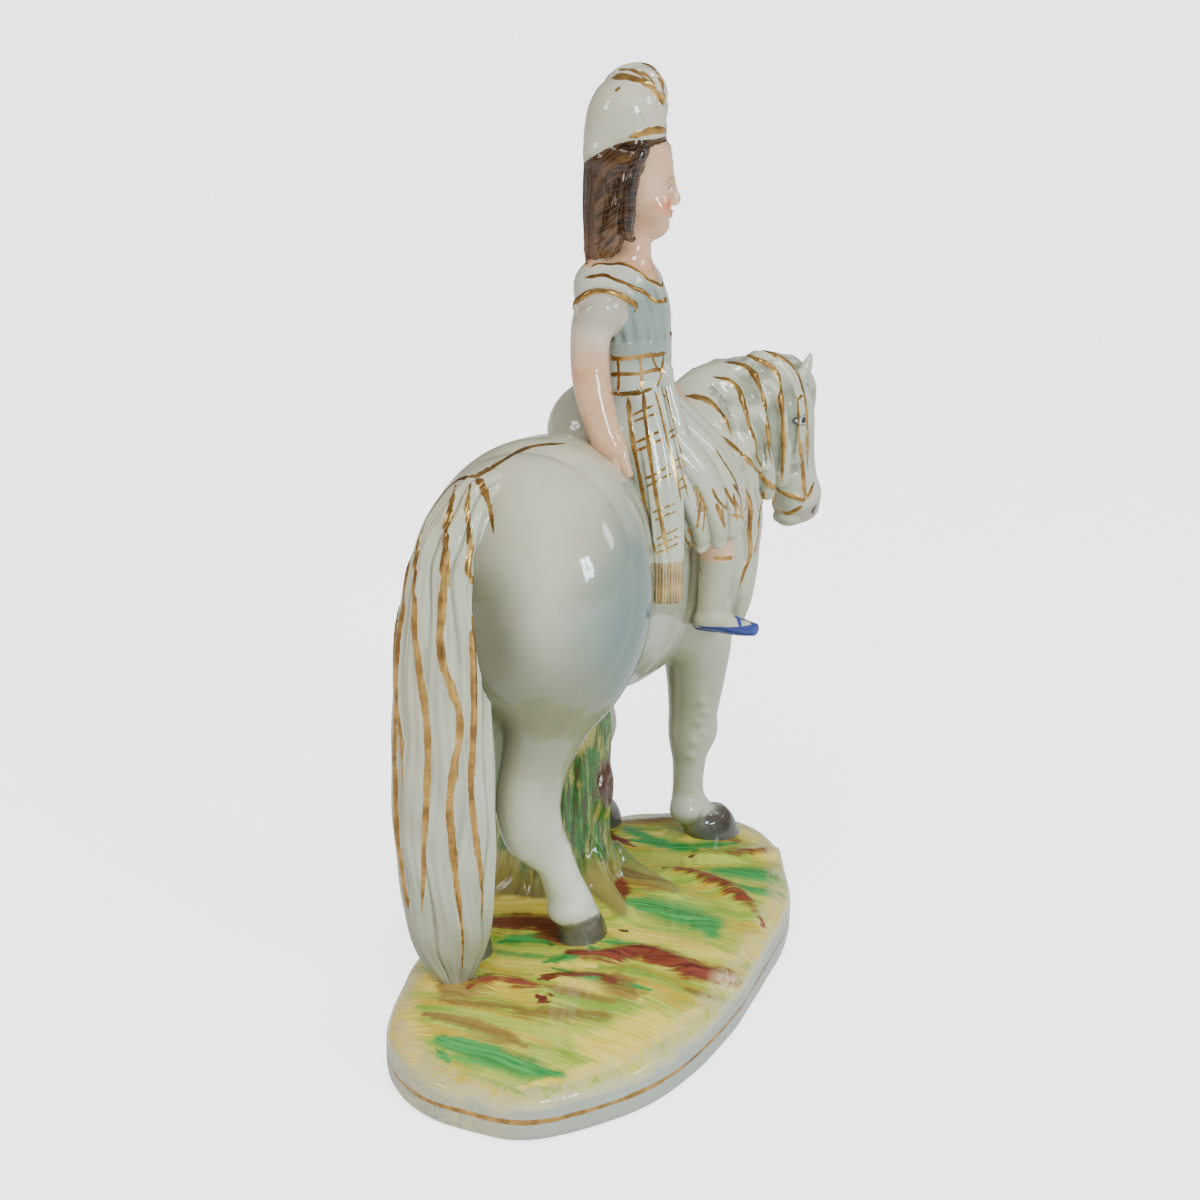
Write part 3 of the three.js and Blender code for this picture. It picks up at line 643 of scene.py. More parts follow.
PLUME = [
  [21.4, 4.8, 244.4, 2.6, 1.7], [21.6, 0.8, 246.4, 3.6, 2.1], [21.8, -4, 246.4, 3.8, 2.3], [22, -6.7, 243.6, 3.4, 2.3], [22, -8, 239.6, 2.6, 1.9],
  [22, -8.6, 236.4, 1.4, 1.3],
]
FACE = [
  [22.6, -6.4, 205.6, 2.6, 2.2], [22.3, -5.4, 208, 5, 4.8], [21.9, -4.2, 211.6, 6.9, 7], [21.4, -3.2, 216, 8, 8.6],
  [21, -2.6, 221, 8.6, 9.2], [20.8, -2.2, 227, 8.6, 9],
]


# ------------------------------------------------------------------ the mound and the stump
HALF_X, HALF_Y, WALL = 95.0, 45.8, 10.5


def outline(w):
    sq = 1 / (np.abs(np.cos(w)) ** 2.3 + np.abs(np.sin(w)) ** 2.3) ** (1 / 2.3)
    return sq * (1 + 0.008 * np.cos(3 * w + 0.6) + 0.008 * np.cos(7 * w + 1.9) + 0.004 * np.cos(11 * w))


def ground(x, y, rho):
    r = np.hypot(x / HALF_X, y / HALF_Y)
    roll = 0.9 * np.sin(x / 11 + y / 17) + 0.5 * np.sin(x / 23 - y / 9 + 1.3)
    z = 16.5 + roll * np.maximum(0, 1 - r) * 1.4 + 1.2 * (1 - r * r)
    z = z - 1.5 * step(0.62, 0.9, rho) - 2.6 * step(0.82, 1.0, rho)
    # brushed furrows of the modelled turf
    z = z + 0.05 * np.sin((x * 0.3 - y * 1.0) * 1.7 + 1.8 * np.sin(x / 13 + y / 19)) * step(1.0, 0.8, rho)
    return z


def mound(P):
    x, y, z = P[:, 0], P[:, 1], P[:, 2]
    w = np.arctan2(y / HALF_Y, x / HALF_X)
    q = np.hypot(x / HALF_X, y / HALF_Y)
    rho = q / outline(w)
    s = np.interp(z, [-1, 0, 0.5, 1.3, 3, 7.9, 10.2, 11.8, 13.2, 14.4, 16], [0.955, 0.957, 0.973, 0.985, 0.988, 0.989, 0.997, 1.008, 1.006, 0.994, 0.97])
    s = s + 0.0035 * np.sin(x / 6.0 + 1.0) * step(8, 12, z) + 0.003 * np.sin(x / 2.7 - y / 4.0) * step(9, 12, z)
    grad = np.sqrt((x / HALF_X ** 2) ** 2 + (y / HALF_Y ** 2) ** 2) / np.maximum(q, 1e-4)
    side = (rho - s) / np.maximum(grad, 1e-3)
    top = (z - ground(x, y, np.minimum(rho, 1.02))) * 0.96
    return smax(smax(side, top, 5.6), -z - 0.02, 1.2)


def bark(w, t, a, b):
    leaf = 0.9 * np.abs(np.sin(3.0 * w + 1.2 * np.sin(5.0 * t) + 0.6)) ** 0.7
    return leaf - 0.5 + 0.25 * np.sin(11 * w + 9 * t) + 0.12 * np.sin(23 * w - 14 * t)


base_f = Field()
base_f.add(Shape(mound, (-97.5, -47.6, 0), (97.5, 47.6, 20)))
base_f.add(Sweep(STUMP, cap=(0.2, 0.3), relief=bark), 5.0, 1)
base_f.add(Ball((21.5, 7.2, 47), (4.4, 2.6, 7.0), (0, 12, 0)), 2.5, 1)  # knot
base_f.add(Ball((21.4, 4.2, 46.5), (2.2, 2.0, 4.2), (0, 12, 0)), 1.6, 1, cut=True)
base_f.add(Sweep([[17, 8, 26, 3, 3], [12.5, 4, 21, 3.2, 2.4], [7, -1, 18.6, 2.6, 1.8], [2, -5, 17.5, 1.6, 1.2]]), 4.0, 1)  # roots
base_f.add(Sweep([[27, 6, 26, 3, 3], [27, -1, 20.5, 3, 2.2], [25.5, -8, 18.4, 2.4, 1.6], [22, -14, 17.6, 1.4, 1]]), 4.0, 1)
base_f.add(Sweep([[36, 20, 26, 3, 3], [42, 17, 20.5, 3, 2.2], [47, 12, 18.6, 2.2, 1.6]]), 4.0, 1)
base_f.add(Ball((-20, 0, 0), (3.2, 3.2, 2.6)), 0.8, 0, cut=True)  # shallow dimple in the underside

# ------------------------------------------------------------------ the pony
SIDE = np.array([0.469, 0.883, 0.0])  # across the head, towards its left
NOSE = np.array([0.883, -0.469, 0.0])  # out of the forehead
HEAD_MID = np.array([97.5, -20.6, 141.0])


def on_head(f, s, z):
    """Point by its place on the head: forwards, across to the left, height."""
    return HEAD_MID + NOSE * f + SIDE * s + np.array([0, 0, z - 141.0])


pony_f = Field()
# the rows inside the two rounded ends, which are drawn as half ellipsoids
BARREL = [[-27, 11.9, 121.8, 29.4, 33.3]] + [r for r in TRUNK if -20 < r[0] < 60] + [[61.5, 5.6, 115.2, 21.8, 34.6]]
pony_f.add(Sweep(BARREL, cap=(0.652, 1.01)))
pony_f.add(Ball((73, 1.6, 117), (10.5, 14.4, 16)), 7)
pony_f.add(Sweep(NECK, (0.5, 0.86, 0), (0.6, 0.6)), 8)
pony_f.add(Ball((68, -14.6, 104), (6.5, 6.0, 17), (0, 0, 0)), 4, 0)
pony_f.core = 3


def hoof(c, turn):
    side = (math.sin(math.radians(-turn)), math.cos(math.radians(turn)), 0)
    fx, fy = math.cos(math.radians(turn)), math.sin(math.radians(turn))
    rows = [[c[0] - 2.2 * fx, c[1] - 2.2 * fy, 22.2, 4.9, 5.2], [c[0] - 0.6 * fx, c[1] - 0.6 * fy, 18.4, 6.0, 6.8], [c[0] + 0.8 * fx, c[1] + 0.8 * fy, 12.5, 7.0, 8.3]]
    return Sweep(rows, side, (0.2, 0.1))


def leg(rows, knee, knee_r, pastern, hoof_c, turn):
    return Group((Sweep(rows, cap=(0.4, 0.3)), 0), (Ball(knee, knee_r), 4), (Ball(pastern, (3.4, 4.4, 3.8)), 2.6), (hoof(hoof_c, turn), 1.2))


pony_f.add(leg(HIND_R, (-31.4, 10.4, 56), (4.2, 4.2, 7), (-16.6, 4.6, 27), (-8.2, 2.4), -8), 9)
pony_f.add(leg(HIND_L, (-38.6, 27.2, 55), (3.6, 4, 6.4), (-35, 28.2, 27), (-28.2, 28.4), -4), 7)
pony_f.add(leg(FORE_R, (69.5, -5.2, 50), (4.2, 5.6, 6.2), (63.6, -3.6, 25.5), (73.6, -10), -28), 7)
pony_f.add(leg(FORE_L, (64.5, 24.5, 50), (3.8, 5.2, 6.0), (58, 25, 25.5), (68.2, 25), 0), 7)

skull = [(Sweep(HEAD, SIDE, (0.9, 0.7)), 0),
         (Ball(on_head(-3.0, 0, 138), (8.0, 7.2, 9.0), (0, 0, -28)), 4),  # cheeks
         (Ball(on_head(1.0, -1.0, 144), (6.2, 7.2, 6), (0, 0, -28)), 3),  # brow
         (Ball(on_head(6.4, 0, 113.4), (5.2, 6.0, 5.4), (0, 0, -28)), 3),  # muzzle
         (Ball(on_head(4.6, 0, 108.2), (3.8, 4.2, 2.8), (0, 0, -28)), 1.2)]  # lower lip
for sgn in (-1, 1):
    skull.append((Ball(on_head(4.4, sgn * 6.0, 138.4), (3.0, 2.2, 2.9), (0, 0, -28)), 1.6))  # eyes
pony_f.add(Group(*skull), 6)
for sgn in (-1, 1):
    pony_f.add(Ball(on_head(10.2, sgn * 3.9, 113.4), (1.5, 1.3, 2.1), (0, 0, -28)), 0.9, 0, cut=True)  # nostrils
EAR_R = [[95.4, -25, 147.5, 2.7, 2.0], [96.9, -27.4, 152.5, 2.5, 1.7], [97.9, -28.8, 156.4, 1.6, 1.2], [98.4, -29.4, 158.8, 0.5, 0.5]]
EAR_L = [[97, -15.8, 148, 2.7, 2.0], [97.6, -14.4, 152.3, 2.4, 1.7], [98, -13.6, 155.4, 1.5, 1.2], [98.2, -13.2, 157.2, 0.5, 0.5]]
pony_f.add(Sweep(EAR_R, (0.9, -0.4, 0), (0.6, 0.6)), 1.6)
pony_f.add(Sweep(EAR_L, (0.9, -0.4, 0), (0.6, 0.6)), 1.6)


def hairs(n, amp):
    return lambda w, t, a, b: amp * np.sin(n * w + 3.0 * np.sin(4 * t)) * np.clip(np.minimum(t, 1 - t) * 6, 0, 1)


FORELOCK = [[92, -19, 155.5, 3.4, 2.6], [101, -22.5, 154.5, 3.8, 2.6], [106.5, -25.6, 148, 3.4, 2.4], [108.4, -26.6, 140, 1.8, 1.6]]
pony_f.add(Sweep(FORELOCK, SIDE, relief=hairs(7, 0.3)), 1.4)
for rows in MANE_R + MANE_L:
    pony_f.add(Sweep(rows, (0.8, 0.3, 0.2), relief=hairs(5, 0.25)), 1.8)
for rows in CHEST_LOCKS:
    pony_f.add(Sweep(rows, (1, 0, 0), relief=hairs(5, 0.2)), 1.6)


# ------------------------------------------------------------------ the tail
def locks(w, t, a, b):
    ph = w + 0.10 * np.sin(14 * t + 1.0) + 0.06 * np.sin(31 * t + 2 * w)
    lobe = np.abs(np.sin(4.5 * ph + 0.4)) ** 0.75
    fine = 0.16 * np.sin(27 * ph + 2.0 * np.sin(9 * t))
    wide = np.clip(np.minimum(t * 7 + 0.25, (1 - t) * 6 + 0.3), 0, 1)
    bump = 0.35 * np.sin(40 * t + 5 * w) * np.sin(17 * t + 1.0)
    return (1.15 * (lobe - 0.62) + fine + bump * 0.8) * wide


tail_f = Field()
tail_f.add(Sweep(TAIL, cap=(0.7, 0.8), relief=locks))

# ------------------------------------------------------------------ the rider: 0 dress, 1 skin, 2 hair, 3 cap, 4 leg and shoe, 5 sash and belt
rider_f = Field()
pleat = lambda w, t, a, b: 0.32 * np.cos(17 * w + 0.5) * step(0.22, 0.32, t) * step(0.78, 0.62, t)
rider_f.add(Sweep(TORSO, (1, 0, 0), (0.6, 0.5), relief=pleat), 0, 0)
rider_f.add(Sweep(NECK_R, (1, 0, 0), (0.5, 0.5)), 3.2, 8)
rider_f.add(Ball((8, 2.6, 188.4), (7.2, 6.6, 7.4), (0, -24, 0)), 3.0, 7)
rider_f.add(Ball((32.6, 1.2, 188.4), (7.2, 6.6, 7.4), (0, 24, 0)), 3.0, 7)
rider_f.add(Ball((13.2, 5.2, 192.6), (8.2, 6.8, 7.0), (0, -10, 0)), 3.5, 0)  # shoulder blades
rider_f.add(Ball((27.4, 5.2, 192.6), (8.2, 6.8, 7.0), (0, 10, 0)), 3.5, 0)
rider_f.add(Sweep(ARM_R, (1, 0, 0)), 1.6, 1)
rider_f.add(Sweep(ARM_L, (1, 0, 0)), 1.6, 1)


def folds(n, amp, phase=0.0):
    def f(w, t, a, b):
        ph = n * w + phase + 1.2 * np.sin(2.5 * t) + 0.5 * np.sin(3 * w + 5 * t)
        return amp * (np.abs(np.sin(ph / 2)) ** 0.8 - 0.55) * np.clip(t * 2.2, 0.12, 1)
    return f


rider_f.add(Sweep(SKIRT, (1, 0, 0), (0.6, 0.3), relief=folds(9, 2.0)), 2.0, 0)
rider_f.add(Ball((20.5, 6.6, 152), (17.5, 15, 14)), 4.0, 0)
rider_f.add(Sweep([[20.8, -1.6, 164.6, 12.0, 10.2], [20.8, -1.8, 171.5, 11.0, 9.4], [20.8, -1.9, 178.2, 11.4, 9.3]], (1, 0, 0), (0.1, 0.1)), 1.0, 5)
rider_f.add(Sweep([[16, -2, 163, 6, 5], [14, -5.6, 154, 6, 5.4], [12.6, -9.4, 143, 5.4, 5], [11.8, -11, 132, 4.6, 4.4], [11.4, -11.6, 122, 3.4, 3.6]], (0.6, -0.8, 0), (0.4, 0.4)), 3.0, 0)  # cloth under the sash
strip = lambda n, amp: lambda w, t, a, b: amp * np.sin(n * w + 1.0) * np.clip(t * 3, 0, 1)
sash_s = Sweep(SASH, (0.56, -0.83, 0), (0.3, 0.4), relief=strip(9, 0.16))
tie_s = Sweep(KNOT_END, (0.8, -0.6, 0), (0.4, 0.4), relief=strip(5, 0.12))
rider_f.add(sash_s, 0.7, 5)
rider_f.add(tie_s, 0.8, 6)
rider_f.add(Ball((19.4, -10.4, 169), (3.0, 2.6, 3.4)), 1.2, 5)
rider_f.add(Sweep(LEG_R, (1, 0, 0), (0.3, 0.3)), 1.5, 4)
rider_f.add(Sweep(LEG_L, (1, 0, 0), (0.3, 0.3)), 1.5, 4)
for x, y0, z0 in ((32, 0, 0), (42.6, 4.6, -4)):
    rider_f.add(Sweep([[x, -18.6 + y0, 97.4 + z0, 3, 2.8], [x, -22.6 + y0, 97.6 + z0, 3.5, 3], [x, -28.2 + y0, 96.6 + z0, 3.5, 2.4], [x, -33 + y0, 96 + z0, 2.4, 1.8]], (1, 0, 0)), 1.6, 4)
# head: a calm, general face in its own frame
TURN = 0.35
F_SIDE = np.array([math.cos(TURN), math.sin(TURN), 0.0])
F_OUT = np.array([math.sin(TURN), -math.cos(TURN), 0.0])
F_MID = np.array([21.2, -3.0, 216.0])


def on_face(s, f, z):
    """Point by its place on the face: across, outwards, height above the middle of the head."""
    return F_MID + F_SIDE * s + F_OUT * f + np.array([0, 0, z])


FT = math.degrees(TURN)
rider_f.add(Sweep(FACE, F_SIDE, (0.8, 0.4)), 1.6, 8)
rider_f.add(Ball(on_face(0, 5.2, -8.2), (2.7, 2.6, 2.6), (0, 0, FT)), 2.4, 8)  # chin
for sgn in (-1, 1):
    rider_f.add(Ball(on_face(sgn * 4.3, 4.6, -3.4), (3.2, 3.2, 3.4), (0, 0, FT)), 2.6, 8)  # cheeks
    rider_f.add(Ball(on_face(sgn * 3.2, 9.4, 2.0), (2.0, 1.5, 1.35), (0, 0, FT)), 1.6, 8, cut=True)  # eye sockets
    rider_f.add(Ball(on_face(sgn * 3.1, 6.7, 1.7), (1.7, 1.7, 1.25), (0, 0, FT)), 0.5, 8)  # eyes
NOSE_R = [list(on_face(0, 7.9, 3.4)) + [0.8, 0.8], list(on_face(0, 8.6, 0.8)) + [0.95, 1.0], list(on_face(0, 9.4, -1.6)) + [1.25, 1.2], list(on_face(0, 8.8, -2.7)) + [1.2, 0.9]]
rider_f.add(Sweep(NOSE_R, F_SIDE, (0.5, 0.6)), 1.4, 8)
for sgn in (-1, 1):
    rider_f.add(Ball(on_face(sgn * 1.2, 8.3, -2.4), (0.8, 0.9, 0.75), (0, 0, FT)), 0.6, 8)
rider_f.add(Ball(on_face(0, 7.7, -4.9), (1.9, 1.0, 0.6), (0, 0, FT)), 0.4, 8)  # lips
rider_f.add(Ball(on_face(0, 7.5, -6.0), (1.6, 1.0, 0.66), (0, 0, FT)), 0.4, 8)
rider_f.add(Ball(on_face(0, 8.9, -5.45), (1.7, 0.35, 0.16), (0, 0, FT)), 0.3, 8, cut=True)


def tresses(w, t, a, b):
    ph = w * 16 + 3.0 * np.sin(3.2 * t + 0.5) + 0.8 * np.sin(12 * t + 3 * w)
    return (0.34 * np.abs(np.sin(ph)) + 0.14 * np.sin(2.7 * ph + 4 * t) - 0.15) + 0.5 * np.sin(6 * w + 4 * t) * np.clip(t * 2 - 0.6, 0, 1)


hair_s = Sweep(HAIR, (1, 0, 0), relief=tresses)
rider_f.add(hair_s, 0.6, 2)
rider_f.add(Ball((14.6, 1.4, 225.4), (5.6, 8.6, 5.4), (14, 0, 0)), 1.5, 2)
rider_f.add(Ball((26.4, 3.6, 225.4), (5.6, 7.6, 5.4), (14, 0, 0)), 1.5, 2)
# rolled locks that frame the face, and curls on the shoulders
for rows in ([[12.4, -7.2, 228.6, 1.3, 1.5], [11.0, -5.6, 224.5, 1.5, 1.8], [10.2, -4.2, 218, 1.6, 1.9], [10.0, -3.9, 212.5, 1.6, 1.9], [10.4, -3.4, 208.6, 1.5, 1.7], [11.4, -3.4, 206.2, 1.2, 1.3], [12.8, -3.9, 205.2, 0.8, 0.8]],
             [[12.2, -2.0, 222, 2.0, 2.6], [11.2, -0.6, 214, 2.2, 2.8], [10.8, 0.6, 208.6, 2.4, 2.8], [10.8, 1.8, 204.4, 2.2, 2.4], [11.8, 2.8, 201.8, 1.5, 1.7]],
             [[30.4, -1.6, 227.5, 1.6, 2.0], [31.4, 0.6, 222, 2.1, 2.6], [31.4, 2.0, 215, 2.2, 2.8], [31, 3.0, 207, 2.2, 2.6], [30, 3.6, 201, 2.0, 2.0], [28.4, 3.6, 197.6, 1.3, 1.3]]):
    rider_f.add(Sweep(rows, (0, 1, 0), relief=lambda w, t, a, b: 0.14 * np.sin(7 * w + 9 * t) + 0.10 * np.sin(26 * t)), 0.7, 2)
rider_f.add(Sweep(HAT, (1, 0, 0), (0.3, 0.36)), 1.0, 3)
rider_f.add(Ball((21.2, 4.2, 229), (10.2, 6.2, 8.0), (14, 0, 0)), 3.0, 3)
rider_f.add(Sweep(PLUME, (1, 0, 0), relief=lambda w, t, a, b: 0.35 * np.sin(22 * t + 5 * w) * np.clip(np.minimum(t, 1 - t) * 8, 0, 1)), 1.6, 3)
# hands
rider_f.add(Ball((1.9, -1.6, 152.2), (3.4, 4.4, 3.6), (30, 0, 0)), 2.0, 1)
for knuckle, tip in (((1.6, -5.0, 152.2), (2.2, -6.6, 145.4)), ((1.0, -2.8, 151.8), (1.5, -4.2, 144.4)), ((0.9, -0.4, 151.8), (1.2, -1.6, 144.8)), ((1.2, 1.9, 152), (1.3, 1.0, 146.2))):
    mid = [(a + b) / 2 - (0.7 if k == 0 else 0) for k, (a, b) in enumerate(zip(knuckle, tip))]
    rider_f.add(Sweep([list(knuckle) + [1.55, 1.5], mid + [1.5, 1.45], list(tip) + [1.35, 1.3]], (0, 1, 0.2)), 0.5, 1)
rider_f.add(Ball((50.2, -5.2, 152), (3.6, 4.0, 3.4), (30, 0, 0)), 2.0, 1)


# ------------------------------------------------------------------ lines painted on the pieces
for f, h in ((base_f, CELL * 1.1), (pony_f, CELL * 1.2), (tail_f, CELL * 0.8), (rider_f, CELL * 0.8)):
    build(f, h)


class Union:
    """Several fields drawn on as one."""

    def __init__(self, *fields):
        self.fields = fields


horse = Union(pony_f, tail_f)

# gilt mane lines of the near side, one on each ridge of hair
MANE_PX = [
    [(760, 350), (790, 365), (803, 395), (806, 430), (806, 470)],
    [(745, 355), (775, 370), (781, 400), (783, 440), (782, 482)],
    [(723, 363), (750, 370), (763, 395), (768, 430), (772, 465)],
    [(711, 377), (735, 385), (745, 410), (755, 440), (763, 472)],
    [(683, 397), (705, 400), (722, 415), (733, 437)],
]
MANE_PITS_PX = [(729, 402), (756, 399), (768, 382), (791, 399), (737, 428), (764, 455), (792, 430), (776, 415), (748, 428)]
mane_st = [drawn(pony_f, p, 0.75, seed=k) for k, p in enumerate(MANE_PX)]
furrow_px = []
for a, b in zip(MANE_PX[:-1], MANE_PX[1:]):
    ca, cb = curve2d(a, 3.0), curve2d(b, 3.0)
    n = 12
    ia = np.linspace(0.12, 1, n) * (len(ca) - 1)
    ib = np.linspace(0.12, 1, n) * (len(cb) - 1)
    mid = [((np.interp(i, np.arange(len(ca)), ca[:, 0]) + np.interp(j, np.arange(len(cb)), cb[:, 0])) / 2,
            (np.interp(i, np.arange(len(ca)), ca[:, 1]) + np.interp(j, np.arange(len(cb)), cb[:, 1])) / 2) for i, j in zip(ia, ib)]
    furrow_px.append(mid)
furrow_st = [drawn(pony_f, p, 0.75) for p in furrow_px]
far_mane = [
    [(66, 2.5, 150), (70, 10, 141), (71.5, 13.5, 131), (72.5, 14, 122)],
    [(76, -1.5, 157), (81, 5.5, 148), (83, 7.6, 138), (85, 7.4, 128)],
    [(84, -6.5, 159), (89, 0.4, 151), (91.5, 1.2, 141), (93, -0.4, 131)],
]
far_st = [laid(pony_f, p, 0.7, seed=3 + k) for k, p in enumerate(far_mane)]
hang_st = [drawn(pony_f, p, 0.6, seed=5 + k) for k, p in enumerate([
    [(743, 484), (750, 506), (749, 533), (750, 553), (743, 573), (738, 590)],
    [(765, 490), (759, 512), (757, 535), (753, 556)],
    [(776, 492), (771, 512), (768, 530)]])]
rein_st = [drawn(pony_f, p, 0.72, seed=7 + k, taper=tp) for k, (p, tp) in enumerate([
    ([(697, 428), (720, 437), (745, 457), (770, 485), (790, 495), (806, 500)], (0.04, 0)),
    ([(803, 395), (798, 402), (799, 425), (801, 450), (803, 475), (805, 498)], (0.1, 0)),
    ([(777, 509), (788, 513), (797, 509), (803, 504)], (0.3, 0.3)),
    ([(806, 499), (811, 490), (814, 480)], (0, 0.4))])]
rein_st += [laid(pony_f, [tuple(on_head(2, s, z)) for s, z in row], 0.7, taper=(0, 0)) for row in (
    [(6.5, 119), (9, 119.5), (9.5, 122)], [(9.5, 150), (9.4, 140), (9, 130), (8.5, 122)])]
croup_st = [
    drawn(horse, [(567, 443), (530, 447), (500, 462), (478, 475), (462, 478), (452, 484), (440, 497), (430, 512), (422, 530)], 0.85, taper=(0.1, 0.12)),
    drawn(horse, [(478, 478), (486, 495), (491, 515), (494, 535)], 1.1, taper=(0, 0.85))]
tail_px = [
    [(430, 510), (420, 535), (416, 570), (414, 610), (418, 660), (424, 700), (428, 740), (427, 790), (425, 850), (422, 915)],
    [(457, 482), (448, 520), (446, 545), (444, 590), (440, 630), (442, 660), (452, 690), (460, 725), (450, 800), (454, 860), (461, 920), (463, 970)],
    [(472, 480), (467, 510), (470, 540), (468, 570), (474, 590), (473, 640), (474, 720), (471, 780), (475, 830), (481, 880), (482, 922)],
    [(400, 590), (397, 620), (395, 660), (396, 700), (402, 740), (404, 790)],
]
tail_st = [drawn(tail_f, p, hw, seed=k, wave=0.1) for k, (p, hw) in enumerate(zip(tail_px, (0.95, 1.0, 0.8, 0.6)))]
tail_back = [
    [(-44, 34, 138), (-48, 38, 110), (-51, 40, 80), (-50, 39, 50), (-48, 34, 28)],
    [(-36, 34, 136), (-37, 39, 108), (-38, 42, 78), (-38, 41, 50), (-40, 35, 30)],
]
tail_st += [laid(tail_f, p, 0.8, seed=9 + k) for k, p in enumerate(tail_back)]

eye_c = hits(pony_f, [(803.5, 420)])[0]
nostril_c = hits(pony_f, [(815, 510)])[0]

# the rider: four layers, so that neighbouring and crossing lines stay apart
R1 = [([(609, 358.4), (627, 358.4), (648, 355.3), (658, 355), (667, 352)], 0.62),
      ([(628, 396), (631, 430), (640, 480), (650, 530), (657, 556)], 0.62),
      ([(655, 390), (662, 418), (670, 450), (677, 480), (682, 505)], 0.4),
      ([(590.6, 268.6), (597.8, 264.5), (611, 265), (620, 264), (631.4, 267.6), (641.6, 274.7), (648, 280.3), (655, 283), (663, 288)], 0.45),
      ([(572.2, 310.4), (575.3, 303.3), (585.5, 295.1), (595.7, 291.5), (609, 292), (621.2, 296.1), (630, 301.2), (636, 306), (635, 313.5)], 0.62)]
R2 = [([(609, 374.7), (621, 374.2), (637.6, 373.7), (648, 371.6), (656, 369.6), (667, 370)], 0.5),
      ([(584.5, 278.3), (594.7, 276.7), (605, 275.7), (613, 279.3), (623.3, 283), (633.5, 288), (641.6, 291), (648, 296), (654, 301), (660, 302), (667, 299)], 0.62),
      ([(643, 391), (648, 440), (655, 490), (662, 525), (668, 556)], 0.55),
      ([(661, 385), (668, 415), (675, 445), (683, 478), (689, 500)], 0.3)]
R3 = [([(609, 393), (620, 394), (630, 393.5), (642, 392), (653, 388)], 0.6),
      ([(617.6, 358.4), (618.7, 372.6), (618, 392)], 0.42), ([(640, 357), (641.6, 372.6), (641.6, 391)], 0.42),
      ([(652, 355.3), (655, 364.5), (661, 372.6)], 0.4),
      ([(632, 416), (641, 411), (655, 405)], 0.32), ([(635, 443), (646, 438), (662, 430)], 0.36), ([(644, 479), (656, 474), (670, 465)], 0.36),
      ([(652, 513), (662, 509), (676, 503)], 0.28), ([(655, 540), (665, 535), (679, 528)], 0.3), ([(656, 553), (667, 549), (680, 542)], 0.26),
      ([(672, 462), (681, 458)], 0.3), ([(676, 482), (686, 477)], 0.3), ([(667, 433), (675, 429)], 0.3)]
R4 = [([(664, 353.3), (662, 367.5), (660.5, 378), (656.4, 388)], 0.38),
      ([(633, 422), (643, 418), (658, 413)], 0.3), ([(636, 451), (648, 446), (664, 438)], 0.36), ([(646, 487), (657, 481), (672, 473)], 0.34),
      ([(654, 521), (664, 516), (677, 511)], 0.28), ([(656, 547), (666, 542), (680, 535)], 0.26),
      ([(674, 469), (683, 465)], 0.3), ([(678, 490), (688, 485)], 0.3), ([(668, 439), (676, 435)], 0.3),
      ([(665, 385), (671, 412), (678, 440), (686, 470)], 0.26)]
SKIRT_PX = [([(702, 495), (699, 515), (697, 529)], 0.42), ([(712, 488), (718, 500), (728, 510)], 0.5), ([(716, 503), (721, 516), (726, 528)], 0.62),
            ([(724, 487), (731, 500), (735, 507)], 0.45), ([(733, 484), (739, 494), (741, 500)], 0.4), ([(706, 505), (704, 520), (703, 532)], 0.36),
            ([(715, 448), (726, 465), (735, 480), (739, 492)], 0.34), ([(735, 500), (741, 512), (744, 522)], 0.34)]
R1 += SKIRT_PX[0::2]
R2 += SKIRT_PX[1::2]
R2 += [([(713, 558), (722, 558.5), (733, 558)], 0.55), ([(684, 537), (694, 553), (703, 577)], 0.36)]
R3 += [([(687, 528), (694, 540), (697, 548)], 0.36)]
HAT_PX = [([(608, 76), (613, 68), (624, 63), (640, 62), (653, 68), (661, 80), (664, 95), (663, 108)], 0.6),
          ([(611, 78), (625, 76), (640, 80), (652, 86), (660, 98), (664, 106)], 1.15),
          ([(617, 70), (632, 70), (646, 78)], 0.5), ([(640, 71), (650, 78), (657, 90)], 0.4), ([(614, 92), (618, 89), (621, 86)], 0.5)]
BAND_PX = [([(628, 138), (637, 135), (648, 131.5), (657, 130), (668, 131), (676, 133)], 0.95)]
rider_st = [[drawn(rider_f, p, w, every=1.2, seed=k + 10 * n, taper=(0.06, 0.1)) for k, (p, w) in enumerate(rows)] for n, rows in enumerate((R1, R2, R3, R4))]
for k, (p, w) in enumerate(HAT_PX):
    rider_st[k % 2].append(drawn(rider_f, p, w, seed=30 + k))
rider_st[2] += [drawn(rider_f, p, w, seed=35) for p, w in BAND_PX]
# the unseen side: hat band, neckline, belt and sleeve go on round the figure
rider_st[2].append(laid(rider_f, [(26.3, -11, 231.0), (29, -8.8, 230.6), (32, -4, 230)], 0.9, taper=(0.0, 0.3)))
rider_st[0].append(laid(rider_f, [(22, -9.5, 190.6), (27, -8, 193), (30, -3, 196), (30, 4, 197.5), (25, 9, 198), (16, 9.6, 198), (10, 7, 197.6)], 0.45, taper=(0.02, 0.02)))
for z, k in ((178.6, 0), (172.8, 1), (166.6, 2)):
    rider_st[k].append(laid(rider_f, [(22, -12, z), (30, -8, z), (33.5, -1, z), (29, 7, z), (20, 9.5, z), (14.5, 8.8, z)], 0.55, taper=(0.02, 0.02)))
rider_st[0].append(laid(rider_f, [(29, -6, 187.6), (35, 0, 192.2), (36.4, 5, 191), (34.6, 10, 187)], 0.6))
rider_st[3].append(laid(rider_f, [(24, -31, 130), (33, -32, 127.6), (42, -31, 128.5), (48, -27, 131)], 0.42))
